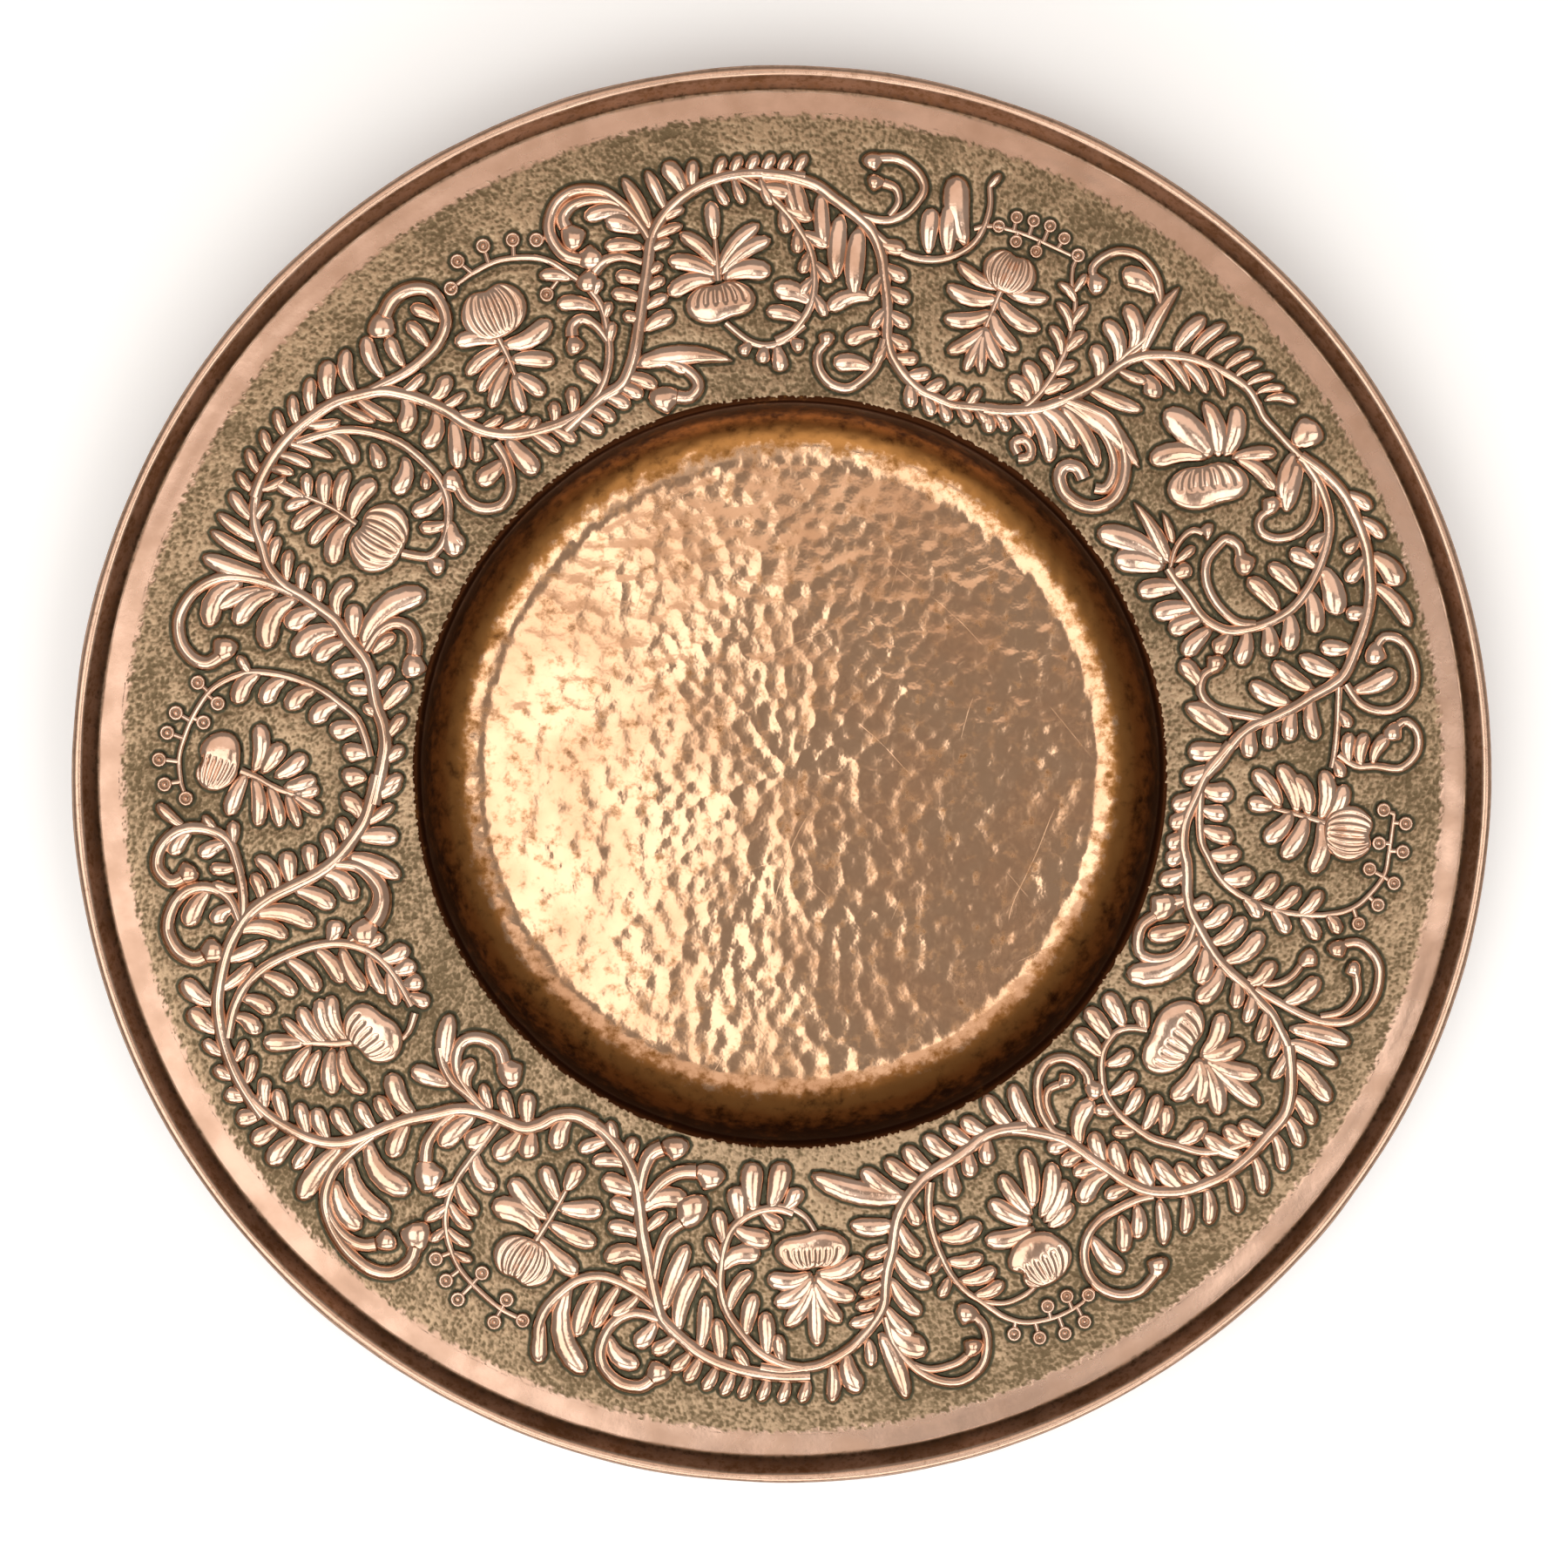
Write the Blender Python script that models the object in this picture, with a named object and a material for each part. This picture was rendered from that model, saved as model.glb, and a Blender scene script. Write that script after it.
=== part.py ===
"""Round copper tray with a deep well, a broad flange and an upturned lip rolled over a wire.

Metres, +Z up. The origin is at the centre of the tray, on the plane that it stands on.
The tray is two pieces: the raised sheet, and the wire ring that its edge is rolled around.
"""
import math

import bmesh
import bpy
from mathutils import Vector

# The sheet and the overall sizes.
OUTER_RADIUS = 0.240        # to the outside of the rolled edge
SHEET = 0.0009              # thickness of the copper, the same all over
LIP_HEIGHT = 0.0080         # crown of the rolled edge above the flange at its foot

# The well, measured at the middle of the sheet.
WELL_RADIUS = 0.1263        # where the wall's line would meet the flange
WELL_DEPTH = 0.0260         # flange above floor
WALL_LEAN = math.radians(10.0)      # how far the wall leans out from upright
HEEL_RADIUS = 0.0200        # bend between the floor and the wall
SHOULDER_RADIUS = 0.0025    # bend between the wall and the flange
WELL_OFFSET = Vector((0.0028, 0.0019))  # the well was raised a little off the centre

# The flange and the lip.
FLANGE_RISE = 0.0015        # the flange climbs this much on its way to the lip
LIP_SLOPE = math.radians(62.0)      # the lip's angle above level
LIP_BEND_RADIUS = 0.0020    # bend between the flange and the lip

# The rolled edge and the wire inside it.
WIRE_RADIUS = 0.0009
WIRE_CLEARANCE = 0.0003     # between the wire and the sheet around it
ROLL_TURN = math.radians(280.0)     # the rest of the turn is the open seam underneath

# How finely round shapes are divided.
SEGMENTS = 80
BEND_STEPS = {"heel": 8, "shoulder": 4, "lip": 3, "roll": 12}
WIRE_SIDES = 8
MERGE_DISTANCE = 1e-7

COPPER = {"colour": (0.72, 0.43, 0.30, 1.0), "roughness": 0.34}
WIRE_COPPER = {"colour": (0.60, 0.34, 0.22, 1.0), "roughness": 0.45}

ROLL_RADIUS = WIRE_RADIUS + WIRE_CLEARANCE + SHEET / 2      # middle of the rolled sheet
FLOOR_HEIGHT = SHEET / 2                                    # middle of the floor's sheet
FLANGE_HEIGHT = FLOOR_HEIGHT + WELL_DEPTH                   # middle of the flange, at the shoulder
FOOT_HEIGHT = FLANGE_HEIGHT + FLANGE_RISE                   # middle of the flange, at the lip
TOTAL_HEIGHT = FOOT_HEIGHT + SHEET / 2 + LIP_HEIGHT
ROLL_CENTRE = Vector((OUTER_RADIUS - ROLL_RADIUS - SHEET / 2, TOTAL_HEIGHT - ROLL_RADIUS - SHEET / 2))


def clear_scene():
    """Remove whatever the new file came with."""
    for obj in list(bpy.data.objects):
        bpy.data.objects.remove(obj, do_unlink=True)


def bend(before, corner, after, radius, steps):
    """Points of an arc of the given radius that rounds off a corner between two straight runs."""
    back = (before - corner).normalized()
    ahead = (after - corner).normalized()
    half_angle = back.angle(ahead) / 2
    start = corner + back * (radius / math.tan(half_angle))
    centre = corner + (back + ahead).normalized() * (radius / math.sin(half_angle))
    sweep = math.pi - 2 * half_angle
    side = 1.0 if back.x * ahead.y - back.y * ahead.x < 0 else -1.0
    points = []
    for step in range(steps + 1):
        turn = side * sweep * step / steps
        arm = start - centre
        points.append(centre + Vector((arm.x * math.cos(turn) - arm.y * math.sin(turn),
                                       arm.x * math.sin(turn) + arm.y * math.cos(turn))))
    return points


def lip_ends():
    """Where the lip's straight run would meet the flange, and where it runs into the rolled edge."""
    outward = Vector((math.sin(LIP_SLOPE), -math.cos(LIP_SLOPE)))
    down = Vector((-math.cos(LIP_SLOPE), -math.sin(LIP_SLOPE)))
    top = ROLL_CENTRE - outward * ROLL_RADIUS
    foot = top + down * ((top.y - FOOT_HEIGHT) / math.sin(LIP_SLOPE))
    return foot, top


def sheet_middle():
    """The middle line of the sheet from the tray's centre out to the end of the rolled edge."""
    lip_foot, lip_top = lip_ends()
    centre = Vector((0.0, FLOOR_HEIGHT))
    heel = Vector((WELL_RADIUS - WELL_DEPTH * math.tan(WALL_LEAN), FLOOR_HEIGHT))
    shoulder = Vector((WELL_RADIUS, FLANGE_HEIGHT))

    line = [centre]
    line += bend(centre, heel, shoulder, HEEL_RADIUS, BEND_STEPS["heel"])
    line += bend(heel, shoulder, lip_foot, SHOULDER_RADIUS, BEND_STEPS["shoulder"])
    line += bend(shoulder, lip_foot, lip_top, LIP_BEND_RADIUS, BEND_STEPS["lip"])
    start = math.pi / 2 + LIP_SLOPE
    for step in range(BEND_STEPS["roll"] + 1):
        angle = start - ROLL_TURN * step / BEND_STEPS["roll"]
        line.append(ROLL_CENTRE + Vector((math.cos(angle), math.sin(angle))) * ROLL_RADIUS)
    return line


def sheet_outline():
    """The sheet's cut face: up the inside from the centre, round the end, and back underneath."""
    line = sheet_middle()
    inside = []
    outside = []
    for index, point in enumerate(line):
        before = line[max(index - 1, 0)]
        after = line[min(index + 1, len(line) - 1)]
        run_in = (point - before).normalized() if index > 0 else (after - point).normalized()
        run_out = (after - point).normalized() if index < len(line) - 1 else run_in
        along = (run_in + run_out).normalized()
        normal = Vector((-along.y, along.x)) * (SHEET / 2 / along.dot(run_in))
        inside.append(point + normal)
        outside.append(point - normal)
    inside[0].x = 0.0
    outside[0].x = 0.0
    return inside + outside[::-1]


def well_shift(radius):
    """How far a ring stands off the centre: the whole offset up to the shoulder, none from the lip on."""
    flange_start = WELL_RADIUS + SHOULDER_RADIUS
    flange_end = lip_ends()[0].x - LIP_BEND_RADIUS
    share = (flange_end - radius) / (flange_end - flange_start)
    return WELL_OFFSET * min(max(share, 0.0), 1.0)


def turned_body(outline, closed):
    """Spin an outline of (radius, height) points around Z into one closed body."""
    body = bmesh.new()
    corners = [body.verts.new((point.x, 0.0, point.y)) for point in outline]
    pairs = list(zip(corners, corners[1:]))
    if closed:
        pairs.append((corners[-1], corners[0]))
    edges = [body.edges.new(pair) for pair in pairs]
    bmesh.ops.spin(body, geom=corners + edges, cent=(0, 0, 0), axis=(0, 0, 1),
                   angle=math.tau, steps=SEGMENTS, use_merge=True)
    bmesh.ops.remove_doubles(body, verts=body.verts, dist=MERGE_DISTANCE)
    bmesh.ops.recalc_face_normals(body, faces=body.faces)
    return body


def add_object(name, body, finish):
    """Make the named object from its body, with a material of its own."""
    mesh = bpy.data.meshes.new(name)
    body.to_mesh(mesh)
    body.free()
    mesh.shade_smooth()
    mesh.set_sharp_from_angle(angle=math.radians(40.0))
    material = bpy.data.materials.new(name)
    material.use_nodes = True
    shader = material.node_tree.nodes["Principled BSDF"]
    shader.inputs["Base Color"].default_value = finish["colour"]
    shader.inputs["Roughness"].default_value = finish["roughness"]
    shader.inputs["Metallic"].default_value = 1.0
    mesh.materials.append(material)
    obj = bpy.data.objects.new(name, mesh)
    bpy.context.collection.objects.link(obj)
    return obj


def make_tray_sheet():
    """The tray itself: floor, wall, flange, lip and rolled edge, raised from one disc of copper."""
    body = turned_body(sheet_outline(), closed=False)
    for vert in body.verts:
        shift = well_shift(math.hypot(vert.co.x, vert.co.y))
        vert.co.x += shift.x
        vert.co.y += shift.y
    return add_object("tray_sheet", body, COPPER)


def make_edge_wire():
    """The wire ring that the sheet's edge is rolled around."""
    outline = []
    for side in range(WIRE_SIDES):
        angle = math.tau * side / WIRE_SIDES
        outline.append(ROLL_CENTRE + Vector((math.cos(angle), math.sin(angle))) * WIRE_RADIUS)
    return add_object("edge_wire", turned_body(outline, closed=True), WIRE_COPPER)


clear_scene()
make_tray_sheet()
make_edge_wire()
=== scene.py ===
"""A hammered and chased copper tray, dressed over its CAD frame.

The sections follow the tray as the smith makes it: the sheet is raised into a well and a flange, its
edge is rolled, the ornament is driven up out of the flange, and the ground round it is matted last.
"""
import math

import bmesh
import bpy
import numpy as np
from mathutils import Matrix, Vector


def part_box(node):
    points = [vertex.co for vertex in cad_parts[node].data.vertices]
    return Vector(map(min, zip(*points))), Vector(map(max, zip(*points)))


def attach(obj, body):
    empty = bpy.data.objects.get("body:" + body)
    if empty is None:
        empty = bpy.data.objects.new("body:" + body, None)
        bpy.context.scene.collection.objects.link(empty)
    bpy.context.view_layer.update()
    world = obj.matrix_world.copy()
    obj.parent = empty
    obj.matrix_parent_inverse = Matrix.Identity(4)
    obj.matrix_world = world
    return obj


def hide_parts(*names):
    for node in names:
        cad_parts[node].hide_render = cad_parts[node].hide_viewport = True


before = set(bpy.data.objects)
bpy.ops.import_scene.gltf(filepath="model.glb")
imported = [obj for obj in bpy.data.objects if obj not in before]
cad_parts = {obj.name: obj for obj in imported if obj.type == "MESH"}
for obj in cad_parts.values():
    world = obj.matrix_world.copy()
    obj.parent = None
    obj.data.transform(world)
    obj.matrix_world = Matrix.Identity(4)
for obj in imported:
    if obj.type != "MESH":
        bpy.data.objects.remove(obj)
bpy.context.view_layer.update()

# ---------------------------------------------------------------------------------------------
# Hammered well
# One disc of copper, a little under a millimetre thick, raised over stakes into a deep well slightly off
# the centre, a broad flange and an upturned lip. The well is planished with a round-faced hammer, blow
# beside blow, and is bright on its scratched floor. Its wall is painted darker as it climbs and is mottled
# with blotches, a painted shade for the dark the wall reflects.
# ---------------------------------------------------------------------------------------------
MM = 0.001
SHEET = 0.0009
WELL_RADIUS = 0.1263
WELL_DEPTH = 0.0260
WALL_LEAN = math.radians(10.0)
HEEL_RADIUS = 0.0200
SHOULDER_RADIUS = 0.0025
WELL_OFFSET = Vector((0.0028, 0.0019))
FLANGE_RISE = 0.0015
LIP_SLOPE = math.radians(62.0)
LIP_BEND_RADIUS = 0.0020
ROLL_RADIUS = 0.00165
ROLL_TURN = math.radians(280.0)
POLE_MERGE = 1e-6           # joins the points of a ring that has shrunk to the tray's centre

tray_low, tray_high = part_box("tray_sheet")
OUTER_RADIUS = tray_high[0]
ROLL_CENTRE = Vector((OUTER_RADIUS - ROLL_RADIUS - SHEET / 2, tray_high[2] - ROLL_RADIUS - SHEET / 2))
FLOOR_HEIGHT = tray_low[2] + SHEET / 2
FLANGE_HEIGHT = FLOOR_HEIGHT + WELL_DEPTH
FOOT_HEIGHT = FLANGE_HEIGHT + FLANGE_RISE
lip_outward = Vector((math.sin(LIP_SLOPE), -math.cos(LIP_SLOPE)))
lip_down = Vector((-math.cos(LIP_SLOPE), -math.sin(LIP_SLOPE)))
LIP_TOP = ROLL_CENTRE - lip_outward * ROLL_RADIUS
LIP_FOOT = LIP_TOP + lip_down * ((LIP_TOP.y - FOOT_HEIGHT) / math.sin(LIP_SLOPE))
SHOULDER = Vector((WELL_RADIUS, FLANGE_HEIGHT))
HEEL = Vector((WELL_RADIUS - WELL_DEPTH * math.tan(WALL_LEAN), FLOOR_HEIGHT))
FLANGE_START = WELL_RADIUS + SHOULDER_RADIUS
FLANGE_END = LIP_FOOT.x - LIP_BEND_RADIUS


def bend(before, corner, after, radius, steps):
    """Points of an arc that rounds off a corner of a profile."""
    back = (before - corner).normalized()
    ahead = (after - corner).normalized()
    half_angle = back.angle(ahead) / 2
    start = corner + back * (radius / math.tan(half_angle))
    centre = corner + (back + ahead).normalized() * (radius / math.sin(half_angle))
    sweep = math.pi - 2 * half_angle
    side = 1.0 if back.x * ahead.y - back.y * ahead.x < 0 else -1.0
    arm = start - centre
    points = []
    for step in range(steps + 1):
        turn = side * sweep * step / steps
        points.append(centre + Vector((arm.x * math.cos(turn) - arm.y * math.sin(turn),
                                       arm.x * math.sin(turn) + arm.y * math.cos(turn))))
    return points


def run(start, end, pitch):
    """Points along a straight stretch of a profile, without its last one."""
    count = max(1, round((end - start).length / pitch))
    return [start.lerp(end, step / count) for step in range(count)]


def beside(line, distance):
    """The profile moved sideways by a distance: up and inwards if it is positive."""
    moved = []
    for index, point in enumerate(line):
        before = line[max(index - 1, 0)]
        after = line[min(index + 1, len(line) - 1)]
        along = (after - before).normalized()
        moved.append(point + Vector((-along.y, along.x)) * distance)
    return moved


def ring_shift(radius):
    """How far a ring of this radius stands off the tray's centre."""
    share = (FLANGE_END - radius) / (FLANGE_END - FLANGE_START)
    return WELL_OFFSET * min(max(share, 0.0), 1.0)


def turned(name, line, segments, facing_up):
    """The surface that a profile of (radius, height) sweeps round the tray, as a new object."""
    angles = np.linspace(0.0, math.tau, segments, endpoint=False)
    points = []
    for point in line:
        shift = ring_shift(point.x)
        ring = np.column_stack((point.x * np.cos(angles) + shift.x,
                                point.x * np.sin(angles) + shift.y,
                                np.full(segments, point.y)))
        points.append(ring)
    points = np.concatenate(points)
    ring, place = np.meshgrid(np.arange(len(line) - 1), np.arange(segments), indexing="ij")
    nearer = ring * segments + place
    nearer_next = ring * segments + (place + 1) % segments
    faces = np.stack((nearer, nearer + segments, nearer_next + segments, nearer_next), axis=-1)
    if not facing_up:
        faces = faces[..., ::-1]
    mesh = bpy.data.meshes.new(name)
    mesh.from_pydata(points.tolist(), [], faces.reshape(-1, 4).tolist())
    if line[0].x == 0.0:
        body = bmesh.new()
        body.from_mesh(mesh)
        bmesh.ops.remove_doubles(body, verts=body.verts[:segments], dist=POLE_MERGE)
        body.to_mesh(mesh)
        body.free()
    mesh.shade_smooth()
    obj = bpy.data.objects.new(name, mesh)
    bpy.context.collection.objects.link(obj)
    return obj


class Field:
    """A value inside a node tree, so that a rule for a shape or a colour reads as a formula."""

    def __init__(self, tree, socket):
        self.tree = tree
        self.socket = socket

    def maths(self, operation, *others):
        node = self.tree.nodes.new("ShaderNodeMath")
        node.operation = operation
        for socket, value in zip(node.inputs, (self,) + others):
            plug(self.tree, value, socket)
        return Field(self.tree, node.outputs[0])

    def __add__(self, other):
        return self.maths("ADD", other)

    def __sub__(self, other):
        return self.maths("SUBTRACT", other)

    def __mul__(self, other):
        return self.maths("MULTIPLY", other)

    def __truediv__(self, other):
        return self.maths("DIVIDE", other)

    def __pow__(self, other):
        return self.maths("POWER", other)

    @staticmethod
    def over(number, field):
        """A plain number divided by a field."""
        return (field ** -1.0) * number

    def ramp(self, start, end, low=0.0, high=1.0, smooth=True):
        """low below start, high above end, and a soft or straight climb between."""
        node = self.tree.nodes.new("ShaderNodeMapRange")
        node.interpolation_type = "SMOOTHSTEP" if smooth else "LINEAR"
        for socket, value in zip(node.inputs, (self, start, end, low, high)):
            plug(self.tree, value, socket)
        return Field(self.tree, node.outputs["Result"])


def plug(tree, value, socket):
    """Give a node's input a link or a plain value."""
    if isinstance(value, Field):
        tree.links.new(value.socket, socket)
    elif value is not None:
        socket.default_value = value


def put(tree, kind, settings=None, out=0, **inputs):
    """Add a node; inputs are named as on the node, with _ for a space. Returns one of its outputs."""
    node = tree.nodes.new(kind)
    for key, value in (settings or {}).items():
        setattr(node, key, value)
    for key, value in inputs.items():
        label = key.replace("_", " ")
        sockets = [socket for socket in node.inputs if socket.enabled and socket.name == label]
        plug(tree, value, sockets[0])
    sockets = [socket for socket in node.outputs if socket.enabled]
    return Field(tree, sockets[out] if isinstance(out, int) else node.outputs[out])


def split(vector):
    """The three components of a vector field."""
    node = vector.tree.nodes.new("ShaderNodeSeparateXYZ")
    plug(vector.tree, vector, node.inputs[0])
    return [Field(vector.tree, socket) for socket in node.outputs]


def join(tree, x, y, z):
    """A vector field from three components."""
    return put(tree, "ShaderNodeCombineXYZ", X=x, Y=y, Z=z)


def start_tree(name, **inputs):
    """A geometry node tree with named inputs; returns it and its inputs as fields."""
    tree = bpy.data.node_groups.new(name, "GeometryNodeTree")
    kinds = {float: "NodeSocketFloat", int: "NodeSocketInt", bpy.types.Material: "NodeSocketMaterial",
             bpy.types.Object: "NodeSocketObject"}
    tree.interface.new_socket("Geometry", in_out="INPUT", socket_type="NodeSocketGeometry")
    tree.interface.new_socket("Geometry", in_out="OUTPUT", socket_type="NodeSocketGeometry")
    for key, value in inputs.items():
        socket_type = next(kinds[kind] for kind in kinds if isinstance(value, kind))
        tree.interface.new_socket(key.replace("_", " "), in_out="INPUT", socket_type=socket_type)
    group = tree.nodes.new("NodeGroupInput")
    fields = [Field(tree, socket) for socket in group.outputs[:-1]]
    return tree, fields


def end_tree(tree, geometry, material):
    """Realise what the tree made, give it its material and hand it out."""
    whole = put(tree, "GeometryNodeRealizeInstances", Geometry=geometry)
    smooth = put(tree, "GeometryNodeSetShadeSmooth", Geometry=whole)
    finished = put(tree, "GeometryNodeSetMaterial", Geometry=smooth, Material=material)
    plug(tree, finished, tree.nodes.new("NodeGroupOutput").inputs[0])


def grow(obj, tree, **inputs):
    """Run a tree on an object, with its inputs set by identifier, and keep the result as a plain mesh."""
    modifier = obj.modifiers.new(tree.name, "NODES")
    modifier.node_group = tree
    for item in tree.interface.items_tree:
        key = item.name.replace(" ", "_")
        if item.in_out == "INPUT" and key in inputs:
            modifier[item.identifier] = inputs[key]
    obj.update_tag()
    view = bpy.context.evaluated_depsgraph_get()
    mesh = bpy.data.meshes.new_from_object(obj.evaluated_get(view), preserve_all_data_layers=True,
                                           depsgraph=view)
    mesh.name = obj.name
    obj.modifiers.clear()
    if obj.type == "MESH":
        obj.data = mesh
        return obj
    name = obj.name
    bpy.data.objects.remove(obj)
    grown = bpy.data.objects.new(name, mesh)
    bpy.context.collection.objects.link(grown)
    return grown


def start_material(name, tint, roughness):
    """A copper material: returns it, its tree, its shader and the place in the tray's own frame."""
    material = bpy.data.materials.new(name)
    material.use_nodes = True
    tree = material.node_tree
    shader = tree.nodes["Principled BSDF"]
    shader.inputs["Metallic"].default_value = 1.0
    shader.inputs["Base Color"].default_value = (*tint, 1.0)
    shader.inputs["Roughness"].default_value = roughness
    material.diffuse_color = (*tint, 1.0)
    place = put(tree, "ShaderNodeTexCoord", out="Object")
    return material, tree, shader, place


def noise(tree, place, size, detail=3.0, roughness=0.5):
    """Cloudy noise from about 0.3 to 0.7 whose blots are this many metres across."""
    return put(tree, "ShaderNodeTexNoise", Vector=place, Scale=1.0 / size, Detail=detail, Roughness=roughness)


def blend_colour(tree, share, first, second):
    """A colour between two, by a share from 0 to 1."""
    node = tree.nodes.new("ShaderNodeMix")
    node.data_type = "RGBA"
    plug(tree, share, node.inputs["Factor"])
    for socket, colour in zip([s for s in node.inputs if s.type == "RGBA"], (first, second)):
        plug(tree, (*colour, 1.0) if isinstance(colour, tuple) else colour, socket)
    return Field(tree, [s for s in node.outputs if s.type == "RGBA"][0])


def bumped(tree, height, distance, strength=1.0):
    """A normal bent by a height field; distance is the height in metres that a change of 1 stands for."""
    return put(tree, "ShaderNodeBump", Height=height, Distance=distance, Strength=strength)


def from_axis(place):
    """How far a place is from the tray's upright axis."""
    x, y, z = split(place)
    return (x * x + y * y) ** 0.5


def planish(finish):
    """Hammer marks and a slow sway, laid along the normals of whatever surface the tree runs on."""
    tree, (sheet, mark_size, mark_depth, sway, inner, outer, copper) = start_tree(
        "planish", Mark_size=0.0, Mark_depth=0.0, Sway=0.0, Inner_radius=0.0, Outer_radius=0.0, Copper=finish)
    place = put(tree, "GeometryNodeInputPosition")
    normal = put(tree, "GeometryNodeInputNormal")
    radius = from_axis(place)
    part = radius.ramp(inner, inner + 0.004) * radius.ramp(outer, outer + 0.003, 1.0, 0.0)
    blow = put(tree, "ShaderNodeTexVoronoi", {"feature": "SMOOTH_F1"}, Vector=place,
               Scale=Field.over(1.0, mark_size), Smoothness=0.22, Randomness=0.95)
    ripple = put(tree, "ShaderNodeTexNoise", Vector=place, Scale=Field.over(0.55, mark_size), Detail=1.5)
    slow = put(tree, "ShaderNodeTexNoise", Vector=place, Scale=24.0, Detail=1.0)
    marks = (blow * blow * 2.2 + (ripple - 0.5) * 1.4) * mark_depth
    height = (marks + (slow - 0.5) * sway) * part
    offset = put(tree, "ShaderNodeVectorMath", {"operation": "SCALE"}, Vector=normal, Scale=height)
    dented = put(tree, "GeometryNodeSetPosition", Geometry=sheet, Offset=offset)
    end_tree(tree, dented, copper)
    return tree


def dress(piece):
    """A finished piece rides with the tray and stands for its sheet."""
    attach(piece, "root")
    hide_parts("tray_sheet")


WELL_SEGMENTS = 640
FLAT_RADIUS = 0.1049        # the floor's flat part, up to the start of the heel
FLOOR_PITCH = 0.00112
WALL_PITCH = 0.0011
HEEL_STEPS = 24
SHOULDER_STEPS = 8
BLOW_SIZE = 0.0056
BLOW_DEPTH = 0.00012
WELL_SWAY = 0.0007
PLANISHED_END = 0.1225      # the marks fade out at this radius, under the shoulder
EVERYWHERE = -1.0           # an inner radius that lets the marks start at the centre
# each set of scratches: bearing in radians, spacing in metres, length of its broken pieces in metres
SCRATCHES = ((0.35, 0.040, 0.055), (1.15, 0.065, 0.040), (2.35, 0.050, 0.035))
WELL_BRIGHT = (0.68, 0.43, 0.27)
WELL_WARM = (0.56, 0.33, 0.195)
# painted shade: the wall's colours, dim low down and nearly black high up, stand for the dark the wall
# reflects
WALL_LOW_PAINTED_SHADE = (0.285, 0.125, 0.036)
WALL_HIGH_PAINTED_SHADE = (0.032, 0.010, 0.0035)


def scratches(tree, place):
    """A few long hair-thin scratches that run across the floor, from 0 to 1."""
    total = None
    for turn, size, gap in SCRATCHES:
        turned_place = put(tree, "ShaderNodeVectorRotate", {"rotation_type": "Z_AXIS"}, Vector=place,
                           Angle=turn)
        x, y, z = split(turned_place)
        wander = noise(tree, turned_place, 0.060, 1.0)
        line = ((x + wander * 0.012) / size).maths("FRACT") - 0.5
        thin = line.maths("ABSOLUTE").ramp(0.0, 0.0035, 1.0, 0.0)
        short = noise(tree, turned_place, gap, 1.0).ramp(0.55, 0.61)
        total = thin * short if total is None else total.maths("MAXIMUM", thin * short)
    return total


def well_copper():
    material, tree, shader, place = start_material("well_copper", WELL_BRIGHT, 0.20)
    x, y, z = split(place)
    climb = (z - FLOOR_HEIGHT) / WELL_DEPTH
    cloud = noise(tree, place, 0.030, 4.0)
    blotch = noise(tree, place, 0.0050, 4.0, 0.65)
    fine = noise(tree, place, 0.0012, 2.0)
    floor = blend_colour(tree, cloud.ramp(0.36, 0.64), WELL_BRIGHT, WELL_WARM)
    # painted shade: the wall turns darker as it climbs, mottled with blotches
    wall_painted_shade = (climb + (blotch - 0.5) * 1.7 + (cloud - 0.5) * 0.8).ramp(0.12, 0.85)
    wall = blend_colour(tree, wall_painted_shade, WALL_LOW_PAINTED_SHADE, WALL_HIGH_PAINTED_SHADE)
    # the painted wall shade begins low on the heel, so the heel's bright ring is also painted darker in
    # blotches
    edge = (climb + (blotch - 0.5) * 0.30).ramp(0.015, 0.11)
    plug(tree, blend_colour(tree, edge, floor, wall), shader.inputs["Base Color"])
    scratch = scratches(tree, place)
    polish = cloud.ramp(0.3, 0.7, 0.09, 0.16) + (fine - 0.5) * 0.06 + scratch * 0.08
    plug(tree, polish + edge * 0.24, shader.inputs["Roughness"])
    dents = noise(tree, place, 0.0040, 2.0) * 0.30 + fine * 0.02 - scratch * 0.03
    plug(tree, bumped(tree, dents, 0.0003), shader.inputs["Normal"])
    return material


well_finish = well_copper()
floor_middle = Vector((0.0, FLOOR_HEIGHT))
shoulder_bend = bend(HEEL, SHOULDER, LIP_FOOT, SHOULDER_RADIUS, SHOULDER_STEPS)
well_line = run(floor_middle, Vector((FLAT_RADIUS, FLOOR_HEIGHT)), FLOOR_PITCH)
well_line += bend(floor_middle, HEEL, SHOULDER, HEEL_RADIUS, HEEL_STEPS)
well_line += run(well_line[-1], shoulder_bend[0], WALL_PITCH)[1:]
well_line += shoulder_bend
well_piece = turned("hammered_well", beside(well_line, SHEET / 2), WELL_SEGMENTS, True)
planish_tree = planish(well_finish)
grow(well_piece, planish_tree, Mark_size=BLOW_SIZE, Mark_depth=BLOW_DEPTH, Sway=WELL_SWAY,
     Inner_radius=EVERYWHERE, Outer_radius=PLANISHED_END, Copper=well_finish)
dress(well_piece)

# ---------------------------------------------------------------------------------------------
# The ornament's pattern
# A chaser lays out stems, leaves, fruits and berry sprays on the flange before any of them is raised.
# Places are degrees round the tray from +X, and millimetres from a centre that moves from the well's to
# the rim's as they go outwards.
# ---------------------------------------------------------------------------------------------
stems = []      # (points in mm, half width at each point)
leaves = []     # x, y, heading, length, width, height, curl, pointedness; mm and radians
berries = []    # x, y, outer radius
fruits = []     # x, y, turn, length, width, kind


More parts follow.
